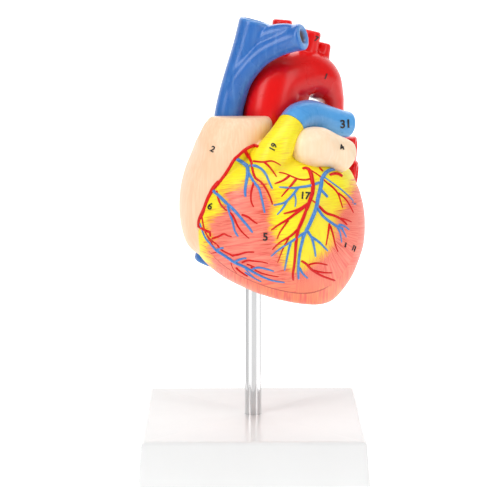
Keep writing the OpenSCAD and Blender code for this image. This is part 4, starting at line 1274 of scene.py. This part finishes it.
# Branches as seen from behind, on the upright plane through the heart's back.
BACK_ARTERIES = [
    (2.0, 1.5, [(-30, 122), (-22, 126), (-12, 136), (-2, 141.5), (6, 142)]),
    (1.9, 1.0, [(4, 142), (9.4, 136), (13, 127), (16.6, 116), (20.4, 105), (24.8, 93.4)]),
    (1.3, 0.7, [(12.6, 128), (8, 121), (2, 115), (-4.6, 110.4)]),
    (1.3, 0.7, [(16, 118), (21.4, 112.6), (27.6, 107), (33.4, 103)]),
    (1.8, 1.4, [(50, 152), (44, 148), (36, 145.4), (27, 144), (19, 143.6)]),
    (1.5, 0.8, [(41, 147), (43, 138), (44.6, 128), (43.6, 117)]),
    (1.4, 0.7, [(29, 144.2), (31.4, 136), (32.6, 127), (31.6, 118)]),
]
BACK_VEINS = [
    (2.0, 3.4, [(48.6, 155), (42, 150.4), (34, 148), (25, 147), (15, 146.6), (5, 145)]),
    (2.1, 1.1, [(8, 145.4), (12.6, 136), (16.4, 127), (20, 116), (24, 105), (28, 94)]),
    (1.4, 0.8, [(17.4, 124), (24.4, 118.4), (30, 112), (36.6, 108.4)]),
    (1.3, 0.8, [(14.4, 132), (9, 127.6), (1.4, 122.6), (-6, 119.4)]),
    (1.7, 0.9, [(36, 148.4), (38.4, 138), (38.8, 128), (36.6, 117), (32.6, 110)]),
    (1.3, 1.5, [(-24, 117), (-15, 124), (-6, 133), (1.4, 139.6), (6, 144)]),
]
BACK_EYE, BACK_PLANE = Vector((0.01, 1.05, 0.12)), 35 * MM


def surface_tree(*pieces):
    """A search tree over the faces of several meshes."""
    return BVHTree.FromPolygons(*merged(pieces))


front_tree = surface_tree(front_half)
back_tree = surface_tree(rear_half, rear_atrium)


def landed(places, tree, eye=EYE, plane=SIGHT_PLANE):
    """Where lines from the eye through places on an upright plane meet the surface."""
    spots, normals = [], []
    for x, z in places:
        aim = Vector((x * MM, plane, z * MM)) - eye
        spot, normal, _, _ = tree.ray_cast(eye, aim.normalized())
        if spot is None:
            spot, normal, _, _ = tree.find_nearest(eye + aim)
        spots.append(spot)
        normals.append(normal)
    return np.array(spots), np.array(normals)


def ridge(spots, normals, widths, sides, proud=0.42):
    """A low ridge along a path on a surface: an ellipse as wide as widths and as high as
    proud of it, half sunk, carried along the path and closed at both tips."""
    ease = np.ones(5) / 5
    for values in (spots, normals):
        middle = np.stack([np.convolve(values[:, i], ease, "valid") for i in range(3)], 1)
        values[2:-2] = middle
    along = unit(np.gradient(spots, axis=0))
    normals = unit(normals - along * (normals * along).sum(1, keepdims=True))
    aside = np.cross(along, normals)
    turn = np.linspace(0, 2 * math.pi, sides, endpoint=False)[None, :, None]
    half_width = widths[:, None, None] * MM / 2
    rings = spots[:, None] + half_width * (
        np.cos(turn) * aside[:, None] + np.sin(turn) * normals[:, None] * proud * 2
    )
    return rings


def branchwork(name, branches, tree, finish, body, slot, *view):
    """All branches of one colour as one piece, with a number that rises towards the tips."""
    points, faces, tips, start, sides = [], [], [], 0, 10
    for first_width, last_width, route in branches:
        first_width, last_width = first_width * 1.1, last_width * 1.08
        line = along_run([[x, z, 0] for x, z in route], 6)[:, :2]
        share = np.linspace(0, 1, len(line))
        width = first_width + (last_width - first_width) * share
        round_ends = np.sqrt(1 - np.abs(share * 2 - 1) ** 16 * 0.96)
        rings = ridge(*landed(line, tree, *view), width * round_ends, sides)
        points += [rings.reshape(-1, 3), [rings[0].mean(0), rings[-1].mean(0)]]
        # The tips close as fans of triangles round the two last points.
        j, poles = np.arange(sides), rings.shape[0] * sides
        k = (j + 1) % sides
        first = np.stack([np.full(sides, poles), k, j], 1)
        last = np.stack([np.full(sides, poles + 1), poles - sides + j, poles - sides + k], 1)
        for part in (closed_faces(len(rings), sides), first, last):
            faces += (part + start).tolist()
        fade = np.clip((2.1 - width) / 1.3, 0, 1) * (0.4 + 0.6 * share)
        tips += [np.repeat(fade, sides), fade[[0, -1]]]
        start += poles + 2
    piece = mesh_piece(name, np.vstack(points), faces)
    give(piece, tip=np.concatenate(tips))
    coloured(piece, finish)
    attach(piece, body)
    return piece


def branch_paint(name, main, light, tip):
    """Glossy paint with a fine grain, which turns to the tip's colour on thin branches."""
    paint = Finish(name, Coat_Weight=0.12, Coat_Roughness=0.15, Specular_IOR_Level=0.2)
    place = paint.place()
    grain = paint.noise(place, 800, 3)
    color = paint.mix(grain.ramp(0.35, 0.75), main, light)
    color = paint.mix(paint.attribute("tip").ramp(0.3, 1.0) * 0.7, color, tip)
    return paint.set(
        Base_Color=color, Roughness=grain * 0.1 + 0.25, Normal=paint.bump(grain, 0.0001, 0.3)
    )


RED_BRANCH = branch_paint(
    "coronary_red", (0.68, 0.004, 0.006), (0.78, 0.015, 0.012), (0.66, 0.02, 0.012))
BLUE_BRANCH = branch_paint(
    "coronary_blue", (0.06, 0.22, 0.6), (0.12, 0.32, 0.7), (0.14, 0.27, 0.5))
front_branches = [
    branchwork("front_arteries", FRONT_ARTERIES, front_tree, RED_BRANCH, "front_heart",
               "artery_red"),
    branchwork("front_veins", FRONT_VEINS, front_tree, BLUE_BRANCH, "front_heart",
               "vein_blue"),
]
branchwork("back_arteries", BACK_ARTERIES, back_tree, RED_BRANCH, "rear_heart", "artery_red",
           BACK_EYE, BACK_PLANE)
branchwork("back_veins", BACK_VEINS, back_tree, BLUE_BRANCH, "rear_heart", "vein_blue",
           BACK_EYE, BACK_PLANE)


# ---- Numbers ----
# Small printed numbers name the model's parts in its key. They lie on the paint as thin ink.

NUMBERS = [
    # Name, number, across, up, turn in degrees, height in millimetres.
    ("0_2", "2", -21, 172.4, -28, 3.0), ("1_19", "19", 10.0, 173.4, 62, 2.9),
    ("2_17", "17", 26.3, 148.3, -4, 3.6), ("3_5", "5", 6, 126.8, 0, 3.9),
    ("4_16", "16", -23.6, 143.2, -20, 3.4), ("5_1", "1", 51.2, 121.1, -20, 2.8),
    ("6_1", "1", 52.6, 120.3, -20, 2.8), ("7_4", "4", 45, 173.2, 30, 3.0),
]
LUNG_ARTERY_NUMBERS = [("31", "31", 46.8, 185.2, 4, 4.0)]
AORTA_NUMBERS = [
    ("red_1", "1", 36.6, 209.6, -20, 2.6), ("red_7", "7", 31.6, 228.6, -20, 2.6),
]


def ink_number(name, text, across, up, turned, height, tree):
    """A number as a flat mesh, laid on the surface along the lines of sight."""
    figure_height = 0.7
    curve = bpy.data.curves.new(name, "FONT")
    curve.body, curve.align_x, curve.align_y = text, "CENTER", "CENTER"
    curve.size, curve.resolution_u, curve.offset = 1.0, 4, 0.03
    flat = placed(name, curve)
    graph = bpy.context.evaluated_depsgraph_get()
    mesh = bpy.data.meshes.new_from_object(flat.evaluated_get(graph))
    bpy.data.objects.remove(flat)
    piece = placed(name, mesh)
    split = piece.modifiers.new("split", "SUBSURF")
    split.subdivision_type, split.levels = "SIMPLE", 3
    mesh = carried_out(piece).data
    uv = points_of(piece)[:, :2] * height / figure_height
    cos, sin = math.cos(math.radians(turned)), math.sin(math.radians(turned))
    places = uv @ np.array([[cos, sin], [-sin, cos]]) + [across, up]
    spots, normals = landed(places, tree)
    mesh.vertices.foreach_set("co", (spots + normals * INK_LIFT).reshape(-1))
    mesh.update()
    thick = piece.modifiers.new("ink", "SOLIDIFY")
    thick.thickness, thick.offset = INK_THICKNESS, 1
    return coloured(carried_out(piece), INK)


INK_LIFT, INK_THICKNESS = 0.15 * MM, 0.05 * MM
INK = Finish("printed_ink", Roughness=0.5)
ink_wear = INK.noise(INK.place(), 1200, 3)
INK.set(Base_Color=INK.mix(ink_wear.ramp(0.5, 0.9), (0.012, 0.01, 0.01), (0.06, 0.04, 0.03)))
number_tree = surface_tree(front_half, auricle_tip, *front_branches)
for numbers, tree, body, slot in (
    (NUMBERS, number_tree, "front_heart", "heart_paint"),
    (LUNG_ARTERY_NUMBERS, surface_tree(pulmonary_arteries), "rear_heart", "vein_blue"),
    (AORTA_NUMBERS, surface_tree(aorta), "rear_heart", "artery_red"),
):
    for name, *values in numbers:
        number = ink_number(f"number_{name}", *values, tree)
        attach(number, body)

for helper in (front_solid, rear_solid, atrium_solid):
    bpy.data.objects.remove(helper)


# ---- Pieces inside the heart ----
# Valves of thin cream leaflets, muscles with white cords that hold them, and the magnets and
# pins that keep the halves together.

valve = Finish("valve_cream", Roughness=0.35)
vein_lines = valve.noise(valve.stretched(valve.place(), 400, 400, 90), 1, 3)
valve.set(
    Base_Color=valve.mix(vein_lines, (0.85, 0.72, 0.5), (0.95, 0.88, 0.72)),
    Normal=valve.bump(vein_lines, 0.0001, 0.3),
)
dress(valve, "tricuspid_valve", "mitral_valve", "aortic_valve", "pulmonary_valve")
dress(inner_finish("inner_muscle", (0.75, 0.14, 0.1), (0.92, 0.28, 0.2)),
      "right_papillary_muscles", "left_papillary_muscles")
magnet = Finish("magnet_steel", Metallic=1.0)
scratch = magnet.noise(magnet.place(), 900, 3)
magnet.set(
    Base_Color=magnet.mix(scratch, (0.55, 0.55, 0.57), (0.7, 0.7, 0.72)),
    Roughness=scratch * 0.2 + 0.15,
)
dress(magnet, "rear_magnets", "front_magnets")
dress(speckled("pin_plastic", (0.8, 0.76, 0.66), (0.88, 0.84, 0.74), 600, 2, 0.00003,
               Roughness=0.45), "locating_pins")
